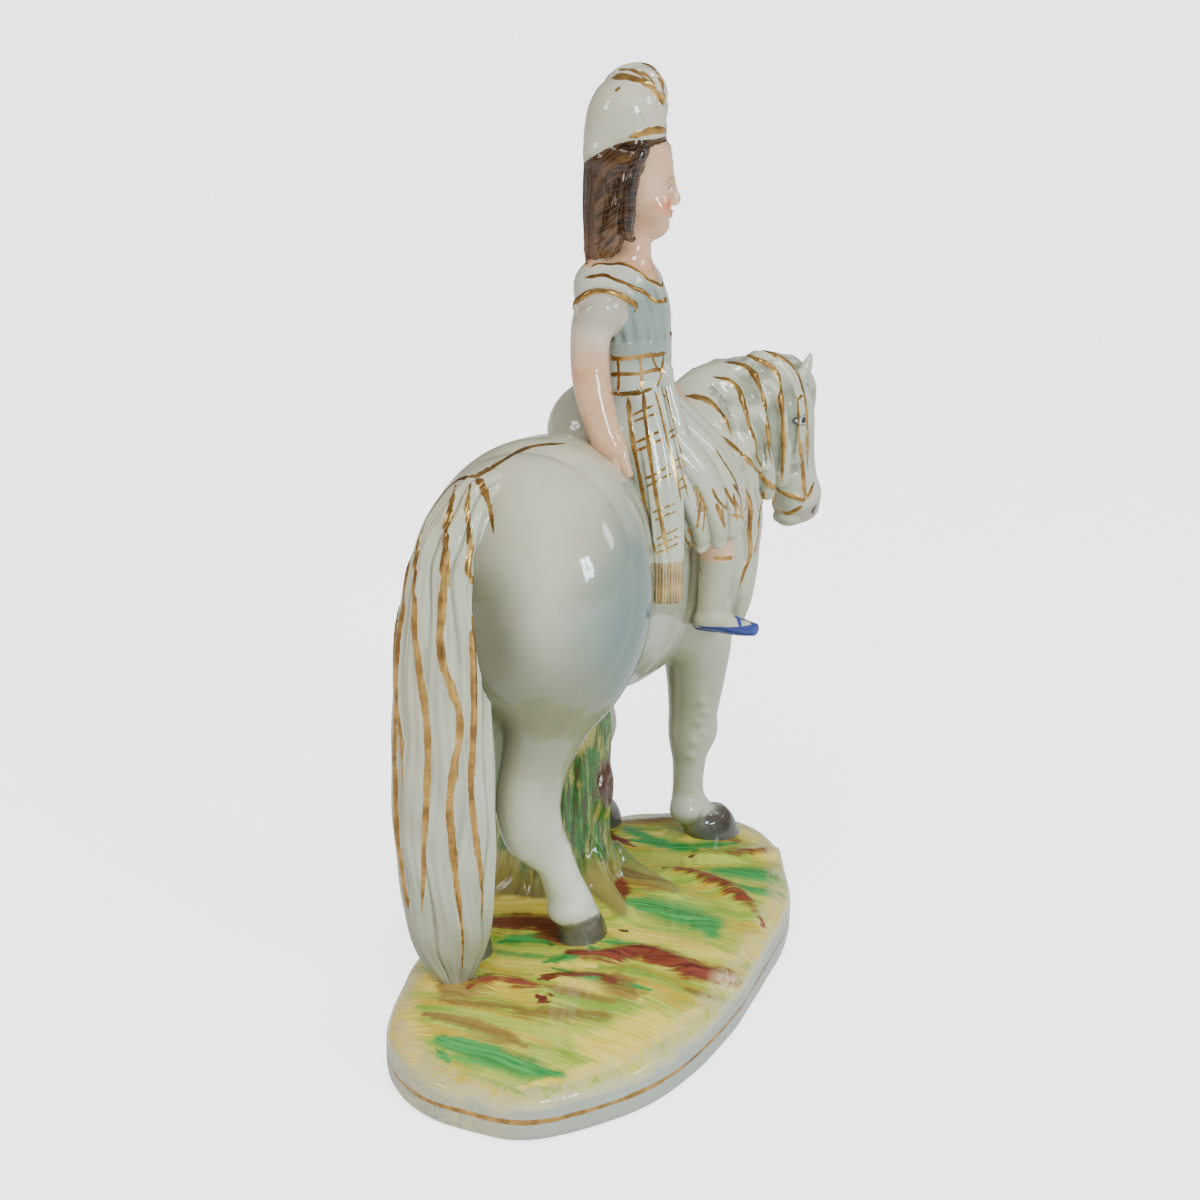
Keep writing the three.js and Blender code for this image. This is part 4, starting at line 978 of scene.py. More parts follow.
for k in range(9):
    x = 20 + 3.4 * k
    rider_st[k % 2].append(laid(rider_f, [(x, -27 - 2.5 * math.sin(math.pi * k / 8), 134 + (k % 3)), (x + 0.6, -29 - 2.0 * math.sin(math.pi * k / 8), 127)], 0.42))
# where the cap meets the hair, below the sleeve's hem, and the rolled hair beside the face
cap_st = [drawn(rider_f, [(583, 163), (598, 153), (612, 146), (628, 141), (640, 140)], 0.5, taper=(0, 0))]
hem_px = [(572.2, 310.4), (575.3, 303.3), (585.5, 295.1), (595.7, 291.5), (609, 292), (621.2, 296.1), (630, 301.2), (636, 306), (635, 313.5)]
under_st = [drawn(rider_f, [(x + (0.6 if x < 600 else -0.6), y + 6.5) for x, y in hem_px[1:-1]], 0.6, taper=(0, 0))]
lock_st = [drawn(rider_f, [(645, 142), (646, 149), (640, 159), (634, 170), (631, 186), (631, 200), (631, 214), (628, 226)], 0.95, taper=(0.05, 0.15), wave=0.2)]
neck_line = rider_st[0][3].P
blue_st = [drawn(rider_f, p, w, taper=(0.02, 0.1)) for p, w in (([(736, 611), (738, 618), (741, 628)], 0.5), ([(733, 617), (741, 618), (748, 622)], 0.42), ([(749, 622), (754, 624), (757, 628)], 0.7))]

# brush marks of the mound: emerald, yellow, maroon, brown
def dabs(rows, every=6.0):
    return [Stroke(hits(base_f, curve2d(p, every)), w, wave=0.1, taper=(0.25, 0.25)) for p, w in rows]


EMERALD = dabs([([(628, 902), (655, 908), (700, 922), (712, 934)], 7.5), ([(702, 868), (740, 872), (785, 878)], 6.5), ([(725, 886), (765, 893), (790, 897)], 3.0),
                ([(632, 840), (680, 846), (735, 843)], 3.0), ([(545, 962), (562, 958)], 2.6), ([(552, 968), (600, 978), (650, 990)], 2.2),
                ([(440, 1040), (470, 1050), (500, 1060), (560, 1075)], 5.2), ([(436, 1048), (448, 1062)], 2.0), ([(500, 942), (535, 938), (552, 945)], 3.0), ([(600, 941), (625, 944), (650, 946)], 1.6)])
YELLOW = dabs([([(606, 930), (640, 936), (690, 947), (735, 958)], 4.6), ([(530, 972), (580, 985), (640, 1000)], 2.4), ([(400, 1000), (402, 1040), (415, 1075)], 6.0),
               ([(625, 838), (650, 836), (665, 830)], 2.6), ([(745, 850), (775, 856), (785, 868)], 4.0), ([(735, 828), (760, 840), (775, 850)], 5.0), ([(770, 930), (780, 900), (793, 885)], 4.0),
               ([(520, 1088), (590, 1070), (650, 1040), (700, 1010)], 2.6), ([(740, 960), (765, 945), (780, 925)], 4.0), ([(410, 975), (440, 985), (470, 975)], 4.0), ([(560, 880), (600, 890), (620, 885)], 3.0)])
MAROON = dabs([([(570, 953), (600, 956), (640, 951), (668, 959), (700, 972), (728, 978), (744, 988)], 4.2), ([(664, 869), (690, 874), (712, 881), (735, 893), (753, 910), (764, 926)], 2.3),
               ([(690, 857), (740, 854), (790, 850)], 1.7), ([(468, 987), (500, 981), (530, 988), (552, 996)], 1.8), ([(537, 996), (548, 1001)], 2.2), ([(744, 986), (745, 998)], 1.2), ([(604, 868), (618, 882), (622, 898)], 3.0)])
BROWN = dabs([([(616, 822), (650, 820), (690, 812)], 4.2), ([(425, 1014), (470, 1025), (525, 1046)], 3.2), ([(440, 1000), (480, 1003), (540, 1010)], 2.2),
              ([(612, 876), (640, 880), (665, 889)], 3.0), ([(440, 985), (460, 990), (490, 975)], 5.0), ([(680, 985), (700, 992), (720, 1000)], 2.2), ([(398, 985), (408, 975), (415, 965)], 3.0)])
BLACK = dabs([([(617, 930), (625, 932), (632, 931)], 0.9)], 3.0)
far_dabs = lambda col: [Stroke(np.array([[s.P[i][0] * 0.9 + 6, -s.P[i][1] * 0.9, s.P[i][2]] for i in range(len(s.P))]), max(s.W.max(), 0.5)) for s in col]


def weight(V, strokes):
    """1 on the middle line of the nearest dab, 0 at its edge, falling to -1."""
    out = np.full(len(V), -1.0)
    for s in strokes:
        wm = max(float(np.max(s.W)), 0.4)
        idx, d, _, _, W = nearest(V, s, wm * 2.2)
        if len(idx):
            out[idx] = np.maximum(out[idx], 1 - d / np.maximum(W, 0.35 * wm))
    return np.clip(out, -1, 1)


# ------------------------------------------------------------------ materials
class Paint:
    """Small helper that writes node formulas. Positions are in millimetres of the object's own frame."""

    def __init__(self, name):
        self.mat = bpy.data.materials.new(name)
        self.mat.use_nodes = True
        self.nt = self.mat.node_tree
        self.out = self.nt.nodes["Material Output"]
        self.bsdf = self.nt.nodes["Principled BSDF"]
        tc = self.nt.nodes.new("ShaderNodeTexCoord")
        self.P = self.vec("MULTIPLY", tc.outputs["Object"], (1000, 1000, 1000))
        sep = self.nt.nodes.new("ShaderNodeSeparateXYZ")
        self.nt.links.new(self.P, sep.inputs[0])
        self.x, self.y, self.z = sep.outputs
        self.N = tc.outputs["Normal"]

    def put(self, socket, v):
        if isinstance(v, bpy.types.NodeSocket):
            self.nt.links.new(v, socket)
        elif isinstance(v, (tuple, list)) and len(v) == 3 and socket.type == "RGBA":
            socket.default_value = (*v, 1)
        else:
            socket.default_value = v

    def m(self, op, a, b=None, c=None, clamp=False):
        n = self.nt.nodes.new("ShaderNodeMath")
        n.operation = op
        n.use_clamp = clamp
        for s, v in zip(n.inputs, (a, b, c)):
            if v is not None:
                self.put(s, v)
        return n.outputs[0]

    def add(self, *a):
        r = a[0]
        for b in a[1:]:
            r = self.m("ADD", r, b)
        return r

    def mul(self, *a):
        r = a[0]
        for b in a[1:]:
            r = self.m("MULTIPLY", r, b)
        return r

    def vec(self, op, a, b=None):
        n = self.nt.nodes.new("ShaderNodeVectorMath")
        n.operation = op
        self.put(n.inputs[0], a)
        if b is not None:
            self.put(n.inputs[1], b)
        return n.outputs["Value" if op in ("DOT_PRODUCT", "LENGTH") else "Vector"]

    def xyz(self, x, y, z):
        n = self.nt.nodes.new("ShaderNodeCombineXYZ")
        for s, v in zip(n.inputs, (x, y, z)):
            self.put(s, v)
        return n.outputs[0]

    def noise(self, scale, detail=2.0, rough=0.5, vec=None, distort=0.0):
        """Noise of about 0 to 1 with the given number of waves per millimetre."""
        n = self.nt.nodes.new("ShaderNodeTexNoise")
        self.put(n.inputs["Vector"], self.P if vec is None else vec)
        n.inputs["Scale"].default_value = scale
        n.inputs["Detail"].default_value = detail
        n.inputs["Roughness"].default_value = rough
        n.inputs["Distortion"].default_value = distort
        return n.outputs["Fac"]

    def cells(self, scale, vec=None):
        n = self.nt.nodes.new("ShaderNodeTexVoronoi")
        self.put(n.inputs["Vector"], self.P if vec is None else vec)
        n.inputs["Scale"].default_value = scale
        return n.outputs["Distance"], n.outputs["Color"]

    def a(self, name):
        n = self.nt.nodes.new("ShaderNodeAttribute")
        n.attribute_name = name
        return n.outputs["Fac"]

    def soft(self, v, lo, hi):
        """Smooth 0 to 1 as v goes from lo to hi."""
        n = self.nt.nodes.new("ShaderNodeMapRange")
        n.interpolation_type = "SMOOTHSTEP"
        self.put(n.inputs["Value"], v)
        n.inputs["From Min"].default_value = lo
        n.inputs["From Max"].default_value = hi
        return n.outputs[0]

    def mix(self, f, a, b):
        n = self.nt.nodes.new("ShaderNodeMix")
        n.data_type = "RGBA"
        self.put(n.inputs[0], f)
        self.put(n.inputs[6], a)
        self.put(n.inputs[7], b)
        return n.outputs[2]

    def lerp(self, f, a, b):
        n = self.nt.nodes.new("ShaderNodeMix")
        n.data_type = "FLOAT"
        self.put(n.inputs[0], f)
        self.put(n.inputs[2], a)
        self.put(n.inputs[3], b)
        return n.outputs[0]

    def spot(self, centre, axes, radii):
        """Distance of a tilted ellipsoid in units of its radii: 1 on its surface."""
        d = self.vec("SUBTRACT", self.P, tuple(float(c) for c in centre))
        s = None
        for ax, r in zip(axes, radii):
            q = self.vec("DOT_PRODUCT", d, tuple(float(c) / r for c in ax))
            q = self.mul(q, q)
            s = q if s is None else self.add(s, q)
        return self.m("SQRT", s)

    # ---- parts of the finish
    def gilding(self, layers):
        """Mask of the gilt lines held in the attributes s, w, m of each layer."""
        edge = self.mul(self.add(self.noise(0.9, 3, 0.6), -0.5), 0.12)
        g = None
        for k in layers:
            off = self.m("ABSOLUTE", self.a("s%d" % k))
            v = self.m("ADD", self.m("MULTIPLY", self.m("SUBTRACT", self.add(self.a("w%d" % k), edge), off), 7.0), 0.5, clamp=True)
            v = self.mul(v, self.m("MULTIPLY", self.a("m%d" % k), 5.0, clamp=True))
            g = v if g is None else self.m("MAXIMUM", g, v)
        worn = self.soft(self.noise(0.35, 5, 0.75), 0.25, 0.38)
        return self.mul(g, self.add(0.6, self.mul(worn, 0.4)))

    def glaze(self, dark=0.0):
        """Cream-white lead glaze: slow warmth changes, grey-blue patches, a few specks; darker in hollows, partly
        where the glaze pools and partly as painted shade, and painted shade on faces that turn downwards.
        """
        warm = self.soft(self.noise(0.022, 3, 0.55), 0.35, 0.68)
        c = self.mix(warm, (0.62, 0.61, 0.465), (0.55, 0.515, 0.36))
        cool = self.soft(self.noise(0.013, 2, 0.5, vec=self.vec("ADD", self.P, (40, 13, 7))), 0.46, 0.66)
        c = self.mix(self.mul(cool, 0.55), c, (0.46, 0.53, 0.485))
        # darker in hollows: partly the glaze pooling there, partly painted shade
        pool_and_shade = self.soft(self.a("hol"), 0.02, 0.30)
        c = self.mix(self.mul(pool_and_shade, 0.7), c, (0.22, 0.235, 0.17))
        cloud = self.soft(self.noise(0.16, 4, 0.6), 0.52, 0.80)
        c = self.mix(self.mul(cloud, 0.22), c, (0.40, 0.38, 0.26))
        # painted shade: faces that turn downwards are darker olive-grey
        facing_down_shade = self.vec("DOT_PRODUCT", self.N, (0, 0, -1))
        c = self.mix(self.mul(self.soft(facing_down_shade, -0.5, 0.6), 0.6), c, (0.25, 0.25, 0.155))
        d, col = self.cells(0.15)
        sep = self.nt.nodes.new("ShaderNodeSeparateColor")
        self.nt.links.new(col, sep.inputs[0])
        keep = self.m("GREATER_THAN", sep.outputs[0], 0.82)
        speck = self.mul(keep, self.soft(d, 0.055, 0.02))
        c = self.mix(self.mul(speck, 0.75), c, (0.16, 0.12, 0.08))
        return c

    def finish(self, colour, gold=None, rough=None, bump=None, bump_mm=0.05):
        b = self.bsdf
        gloss = self.add(0.055, self.mul(self.soft(self.noise(0.07, 3, 0.6), 0.35, 0.75), 0.07))
        if rough is not None:
            gloss = self.add(gloss, rough)
        if gold is not None:
            tone = self.soft(self.noise(0.16, 3, 0.6), 0.32, 0.68)
            metal = self.mix(tone, (0.25, 0.125, 0.032), (0.58, 0.33, 0.09))
            colour = self.mix(gold, colour, metal)
            self.put(b.inputs["Metallic"], self.mul(gold, 0.80))
            gloss = self.lerp(gold, gloss, self.add(0.22, self.mul(self.noise(0.5, 3, 0.6), 0.12)))
        self.put(b.inputs["Base Color"], colour)
        self.put(b.inputs["Roughness"], gloss)
        b.inputs["IOR"].default_value = 1.52
        h = self.mul(self.noise(0.35, 3, 0.55), 0.9)
        h = self.add(h, self.mul(self.noise(2.2, 2, 0.5), 0.10))
        if gold is not None:
            h = self.add(h, self.mul(gold, 0.35))
        if bump is not None:
            h = self.add(h, bump)
        n = self.nt.nodes.new("ShaderNodeBump")
        n.inputs["Strength"].default_value = 1.0
        n.inputs["Distance"].default_value = bump_mm / 1000
        self.put(n.inputs["Height"], h)
        self.nt.links.new(n.outputs[0], b.inputs["Normal"])
        return self.mat


def pony_material():
    p = Paint("glaze_pony")
    c = p.glaze()
    # hooves: grey-brown, darker to the ground and in blots
    up = p.add(p.z, p.mul(p.noise(0.35, 3, 0.6), 4.0))
    hoof = p.soft(up, 27.5, 25.0)
    hoof = p.mul(hoof, p.a("foot"))
    hc = p.mix(p.soft(p.add(p.z, p.mul(p.noise(0.45, 3, 0.6), 6)), 25.5, 21.0), (0.085, 0.068, 0.054), (0.02, 0.016, 0.013))
    c = p.mix(hoof, c, hc)
    # painted shade, partly the glaze's own pooling: grey-blue along the flank, dark olive in the crease by the tail
    # and olive down the back of the thigh
    pool_and_shade = p.spot((-26, -21, 106), ((1, 0, 0), (0, 1, 0), (0, 0, 1)), (25, 16, 37))
    c = p.mix(p.mul(p.soft(p.add(pool_and_shade, p.mul(p.noise(0.05, 3), 0.5)), 1.9, 0.7), 0.95), c, (0.135, 0.195, 0.178))
    pool_and_shade = p.spot((-48, 17, 104), ((1, 0, 0), (0, 1, 0), (0, 0, 1)), (18, 13, 35))
    c = p.mix(p.mul(p.soft(p.add(pool_and_shade, p.mul(p.noise(0.05, 3), 0.5)), 1.95, 0.7), 0.95), c, (0.10, 0.097, 0.050))
    pool_and_shade = p.spot((-41, -3, 92), ((1, 0, 0), (0, 1, 0), (0, 0, 1)), (18, 17, 15))
    c = p.mix(p.mul(p.soft(p.add(pool_and_shade, p.mul(p.noise(0.05, 3), 0.5)), 1.8, 0.6), 0.85), c, (0.21, 0.215, 0.135))
    # painted shade: olive-grey on the thigh
    thigh = p.spot((-30, -1, 80), ((1, 0, 0), (0, 1, 0), (0, 0, 1)), (20, 17, 20))
    c = p.mix(p.mul(p.soft(p.add(thigh, p.mul(p.noise(0.06, 3), 0.6)), 1.5, 0.6), 0.65), c, (0.27, 0.265, 0.175))
    # painted shade: olive-grey on the forelegs and between them
    fore = p.spot((62, 8, 74), ((1, 0, 0), (0, 1, 0), (0, 0, 1)), (16, 24, 40))
    c = p.mix(p.mul(p.soft(p.add(fore, p.mul(p.noise(0.06, 3), 0.6)), 1.5, 0.6), 0.72), c, (0.26, 0.26, 0.15))
    # painted light on the lower legs: the hind shins lighter as a painted highlight, and a warm painted reflection of
    # the ground colours low on all legs
    c = p.mix(p.mul(p.soft(p.z, 60, 40), p.soft(p.x, 40, 20), p.soft(hoof, 0.5, 0.0), 0.75), c, (0.86, 0.88, 0.78))
    c = p.mix(p.mul(p.soft(p.z, 40, 20), p.soft(hoof, 0.5, 0.0), 0.25), c, (0.52, 0.49, 0.36))
    ax = (NOSE, SIDE, np.array([0, 0, 1.0]))
    for sgn in (-1, 1):
        e = on_head(4.4, sgn * 8.0, 138.4) if sgn > 0 else eye_c
        d = p.spot(e, ax, (2.5, 3.0, 1.25))
        lid = p.mul(p.soft(d, 1.42, 1.26), p.soft(d, 0.92, 1.06))
        c = p.mix(p.soft(d, 1.06, 0.94), c, (0.70, 0.70, 0.68))
        c = p.mix(p.mul(lid, 0.85), c, (0.05, 0.045, 0.05))
        d = p.spot(e, ax, (1.05, 3.0, 1.05))
        c = p.mix(p.soft(d, 1.08, 0.92), c, (0.02, 0.02, 0.025))
        nd = p.spot(on_head(10.2, sgn * 3.9, 113.4) if sgn > 0 else nostril_c, ax, (4.6, 4.2, 4.6))
        c = p.mix(p.mul(p.soft(nd, 1.3, 0.5), 0.55), c, (0.42, 0.30, 0.27))
        nd = p.spot(on_head(10.2, sgn * 3.9, 113.4) if sgn > 0 else nostril_c, ax, (1.5, 1.7, 1.9))
        c = p.mix(p.mul(p.soft(nd, 1.2, 0.75), 0.85), c, (0.05, 0.025, 0.022))
    return p.finish(c, p.gilding((1, 2)))


def tail_material():
    p = Paint("glaze_tail")
    c = p.glaze()
    # scuffs high on the tail, painted shade low on it, brown at its tip
    d = p.spot((-50, 33, 134), ((1, 0, 0), (0, 1, 0), (0, 0, 1)), (9, 9, 5))
    scuff = p.mul(p.soft(d, 1.0, 0.5), p.soft(p.noise(1.5, 4, 0.7), 0.60, 0.66))
    c = p.mix(p.mul(scuff, 0.8), c, (0.10, 0.09, 0.08))
    # painted shade: the lower tail darkens to olive-grey
    c = p.mix(p.mul(p.soft(p.add(p.z, p.mul(p.noise(0.05, 3), 30)), 70, 34), 0.7), c, (0.24, 0.235, 0.145))
    tip = p.soft(p.add(p.z, p.mul(p.noise(0.4, 3, 0.6), 7)), 24.0, 19.0)
    c = p.mix(p.mul(tip, 0.35), c, (0.42, 0.31, 0.19))
    return p.finish(c, p.gilding((1,)))


def mound_material():
    p = Paint("glaze_mound")
    # strokes of the brush run across the mound and fan out a little
    c_fan = p.add(-0.1, p.mul(p.add(p.x, 60), 0.0041))
    v = p.add(p.x, p.mul(c_fan, p.y))
    v = p.add(v, p.mul(p.add(p.noise(0.03, 2), -0.5), 9.0))
    fine = p.noise(1.0, 4, 0.62, vec=p.xyz(p.mul(v, 1.25), p.mul(p.y, 0.035), p.mul(p.z, 0.25)))
    broad = p.noise(1.0, 3, 0.5, vec=p.xyz(p.mul(v, 0.30), p.mul(p.y, 0.022), p.mul(p.z, 0.05)))
    blot = p.noise(0.05, 4, 0.6)
    streak = p.add(p.mul(fine, 0.62), p.mul(broad, 0.38))
    c = p.mix(p.soft(streak, 0.34, 0.66), (0.42, 0.56, 0.06), (0.86, 0.70, 0.10))
    c = p.mix(p.mul(p.soft(p.add(fine, p.mul(blot, 0.5)), 0.70, 0.90), 0.7), c, (0.10, 0.28, 0.012))
    c = p.mix(p.mul(p.soft(p.noise(1.0, 3, 0.55, vec=p.xyz(p.mul(v, 0.16), p.mul(p.y, 0.022), 4.0)), 0.50, 0.62), 0.6), c, (0.13, 0.36, 0.02))
    c = p.mix(p.mul(p.soft(p.add(broad, p.mul(blot, 0.5)), 0.74, 0.92), 0.7), c, (0.66, 0.38, 0.012))
    c = p.mix(p.mul(p.soft(fine, 0.40, 0.30), 0.5), c, (0.82, 0.74, 0.26))

    def layer(c, name, colour, second, strength, lo=-0.35, hi=0.6):
        w = p.add(p.a(name), p.mul(p.add(streak, -0.5), 2.2), p.mul(p.add(fine, -0.5), 1.2))
        m = p.mul(p.soft(w, lo, hi), strength)
        return p.mix(m, c, p.mix(p.soft(fine, 0.36, 0.64), colour, second))
    c = layer(c, "yel", (0.90, 0.60, 0.025), (0.96, 0.82, 0.17), 0.95)
    c = layer(c, "emr", (0.0, 0.19, 0.035), (0.08, 0.44, 0.09), 1.0)
    c = layer(c, "brn", (0.14, 0.055, 0.012), (0.34, 0.19, 0.05), 0.85)
    c = layer(c, "mar", (0.10, 0.012, 0.009), (0.26, 0.055, 0.026), 1.0, -0.35, 0.35)
    # mottled edge: yellow-cream where the colour thins out and runs down
    lip = p.soft(p.a("rim"), 9.5, 3.5)
    mott = p.noise(0.22, 5, 0.7, distort=1.2)
    c = p.mix(p.mul(lip, p.soft(mott, 0.36, 0.58), 0.85), c, (0.66, 0.55, 0.26))
    c = p.mix(p.mul(lip, p.soft(mott, 0.60, 0.72), 0.75), c, (0.60, 0.36, 0.06))
    c = p.mix(p.mul(p.soft(p.noise(0.35, 5, 0.7, distort=1.0), 0.66, 0.74), lip, 0.8), c, (0.25, 0.33, 0.06))
    c = p.mix(p.mul(p.soft(p.a("blk"), 0.0, 0.25), 0.95), c, (0.03, 0.025, 0.02))
    # trunk: emerald above, ochre and yellow below, in upright facets
    w = p.m("ARCTAN2", p.add(p.y, -23), p.add(p.x, -22))
    tw = p.xyz(p.mul(w, 3.2), p.mul(p.z, 0.07), p.mul(w, 1.1))
    tn = p.noise(1.0, 4, 0.62, vec=tw, distort=0.5)
    tf = p.noise(1.0, 3, 0.6, vec=p.xyz(p.mul(w, 14.0), p.mul(p.z, 0.10), 3.0))
    t = p.mix(p.soft(tn, 0.38, 0.54), (0.36, 0.31, 0.065), (0.048, 0.155, 0.030))
    t = p.mix(p.mul(p.soft(tf, 0.46, 0.60), 0.75), t, (0.008, 0.080, 0.018))
    t = p.mix(p.mul(p.soft(tf, 0.42, 0.34), 0.45), t, (0.50, 0.42, 0.12))
    t = p.mix(p.mul(p.soft(p.add(p.z, p.mul(tn, 14)), 40, 28), 0.75), t, (0.30, 0.235, 0.06))
    t = p.mix(p.mul(p.soft(p.noise(0.11, 4, 0.65), 0.56, 0.66), p.soft(p.z, 44, 56), 0.7), t, (0.60, 0.42, 0.10))
    kd = p.spot((21.4, 5.8, 49.5), ((1, 0, 0), (0, 1, 0), (0, 0, 1)), (6.4, 6.0, 8.6))
    t = p.mix(p.mul(p.soft(p.add(kd, p.mul(p.add(p.noise(0.5, 4, 0.7), -0.5), 1.3)), 1.05, 0.6), 0.92), t, (0.085, 0.03, 0.028))
    t = p.mix(p.mul(p.soft(p.add(tf, p.mul(tn, 0.4)), 0.76, 0.84), 0.6), t, (0.12, 0.045, 0.03))
    c = p.mix(p.soft(p.a("trunk"), -0.8, 0.8), c, t)
    # the wall stays white under a ragged run of colour
    edge = p.add(p.z, p.mul(p.add(p.noise(0.11, 4, 0.65), -0.5), 5.5))
    below = p.mul(p.soft(edge, 11.6, 10.6), p.soft(p.a("rim"), 6.0, 2.0))
    ooze = p.mul(p.soft(edge, 12.6, 11.2), p.soft(edge, 8.8, 10.4), p.soft(p.a("rim"), 6.0, 2.0))
    white = p.mix(0.62, p.glaze(), (0.29, 0.32, 0.285))
    left = p.mul(p.soft(p.x, -66, -88), p.soft(p.y, -20, 6))
    white = p.mix(p.mul(left, p.soft(mott, 0.38, 0.6), 0.8), white, (0.60, 0.52, 0.24))
    c = p.mix(below, c, white)
    c = p.mix(p.mul(ooze, 0.75), c, (0.62, 0.55, 0.27))
    # gilt line round the wall
    wob = p.add(6.1, p.mul(p.add(p.noise(0.03, 2), -0.5), 2.6))
    half = p.add(0.62, p.mul(p.add(p.noise(0.09, 2), -0.5), 0.9))
    g = p.m("ADD", p.m("MULTIPLY", p.m("SUBTRACT", half, p.m("ABSOLUTE", p.m("SUBTRACT", p.z, wob))), 6.0), 0.5, clamp=True)
    g = p.mul(g, p.soft(p.a("rim"), 5.0, 2.5), p.soft(p.noise(0.35, 5, 0.7), 0.30, 0.38))
    c = p.mix(p.mul(p.soft(p.z, 0.9, 0.3), 0.6), c, (0.62, 0.56, 0.42))
    top = p.soft(p.z, 11, 13)
    return p.finish(c, g, bump=p.mul(fine, top, 1.5), bump_mm=0.11)


def rider_material():
    p = Paint("glaze_rider")
    c = p.glaze()
    # flesh enamel, thin and slightly uneven
    fl = p.soft(p.add(p.a("fl"), p.mul(p.add(p.noise(0.7, 2), -0.5), 0.3)), -0.18, 0.18)
    skin = p.mix(p.soft(p.noise(0.12, 3, 0.6), 0.35, 0.7), (0.72, 0.45, 0.27), (0.66, 0.34, 0.19))
    # upper arm below the sleeve: pale sleeve white, turning grey as painted shade just under the hem
    upper_arm = p.mul(p.soft(p.z, 172, 184), p.soft(p.a("arm"), -0.5, 0.5))
    skin = p.mix(p.mul(upper_arm, 0.8), skin, p.mix(p.soft(p.add(p.z, p.mul(p.noise(0.2, 2), 3)), 182, 187.5), (0.64, 0.57, 0.44), (0.40, 0.41, 0.34)))
    # painted shade: the skin is darker in its hollows
    skin = p.mix(p.mul(p.soft(p.a("hol"), 0.02, 0.2), 0.45), skin, (0.50, 0.28, 0.18))
    c = p.mix(fl, c, skin)
    # painted shade: grey-blue on the bodice and olive-grey behind the arm
    bod = p.spot((13, -7, 183), ((1, 0, 0), (0, 1, 0), (0, 0, 1)), (13, 9, 12))
    c = p.mix(p.mul(p.soft(p.add(bod, p.mul(p.noise(0.09, 3), 0.5)), 1.6, 0.8), p.soft(fl, 0.5, 0.0), 0.85), c, (0.20, 0.255, 0.235))
    bod = p.spot((9, 6, 158), ((1, 0, 0), (0, 1, 0), (0, 0, 1)), (9, 12, 13))
    c = p.mix(p.mul(p.soft(p.add(bod, p.mul(p.noise(0.09, 3), 0.5)), 1.6, 0.8), p.soft(fl, 0.5, 0.0), 0.6), c, (0.22, 0.20, 0.165))
    # rubbed pinkish patches on the cap
    cap = p.mul(p.soft(p.a("cp"), -0.2, 0.2), p.soft(p.noise(0.10, 4, 0.6, distort=0.8), 0.50, 0.56))
    c = p.mix(p.mul(cap, 0.55), c, (0.62, 0.50, 0.42))
    # the face: a calm painted doll's face on even proportions
    fa = (F_SIDE, F_OUT, np.array([0, 0, 1.0]))
    for sgn in (-1, 1):
        blush = p.spot(on_face(sgn * 5.6, 6.0, -2.8), fa, (3.2, 6.5, 2.9))
        c = p.mix(p.mul(p.soft(blush, 1.2, 0.1), 0.8), c, (0.66, 0.11, 0.04))
        eye = p.spot(on_face(sgn * 3.1, 8.0, 1.6), fa, (1.5, 4.0, 0.78))
        c = p.mix(p.soft(eye, 1.06, 0.94), c, (0.80, 0.80, 0.78))
        iris = p.spot(on_face(sgn * 3.1, 8.0, 1.7), fa, (0.66, 4.0, 0.66))
        ins = p.soft(eye, 1.02, 0.96)
        c = p.mix(p.mul(p.soft(iris, 1.08, 0.92), ins), c, (0.12, 0.17, 0.24))
        pup = p.spot(on_face(sgn * 3.1, 8.0, 1.75), fa, (0.32, 4.0, 0.32))
        c = p.mix(p.mul(p.soft(pup, 1.1, 0.9), ins), c, (0.01, 0.01, 0.015))
        above = p.soft(p.z, 216 + 1.5, 216 + 1.75)
        lash = p.mul(p.soft(eye, 1.26, 1.14), p.soft(eye, 0.94, 1.02), above)
        c = p.mix(p.mul(lash, 0.92), c, (0.03, 0.02, 0.02))
        crease = p.spot(on_face(sgn * 3.1, 8.0, 1.9), fa, (1.75, 4.0, 1.25))
        c = p.mix(p.mul(p.soft(crease, 1.12, 1.02), p.soft(crease, 0.92, 1.0), p.soft(p.z, 218.0, 218.6), 0.35), c, (0.45, 0.18, 0.12))
        brow = p.spot(on_face(sgn * 3.4, 8.0, 1.2), fa, (2.5, 5.0, 3.1))
        c = p.mix(p.mul(p.soft(brow, 1.10, 1.03), p.soft(brow, 0.93, 1.0), p.soft(p.z, 218.4, 219.2), 0.85), c, (0.10, 0.05, 0.03))
    lips = p.m("MINIMUM", p.spot(on_face(0, 8.4, -4.95), fa, (1.75, 3.0, 0.55)), p.spot(on_face(0, 8.2, -5.85), fa, (1.4, 3.0, 0.62)))
    c = p.mix(p.mul(p.soft(lips, 1.12, 0.85), 0.9), c, (0.56, 0.06, 0.045))
    part = p.spot(on_face(0, 8.4, -5.42), fa, (1.7, 3.0, 0.14))
    c = p.mix(p.mul(p.soft(part, 1.3, 0.8), 0.85), c, (0.16, 0.02, 0.02))
    for sgn in (-1, 1):
        nos = p.spot(on_face(sgn * 0.75, 9.2, -3.3), fa, (0.38, 1.2, 0.3))
        c = p.mix(p.mul(p.soft(nos, 1.2, 0.8), 0.7), c, (0.42, 0.12, 0.08))
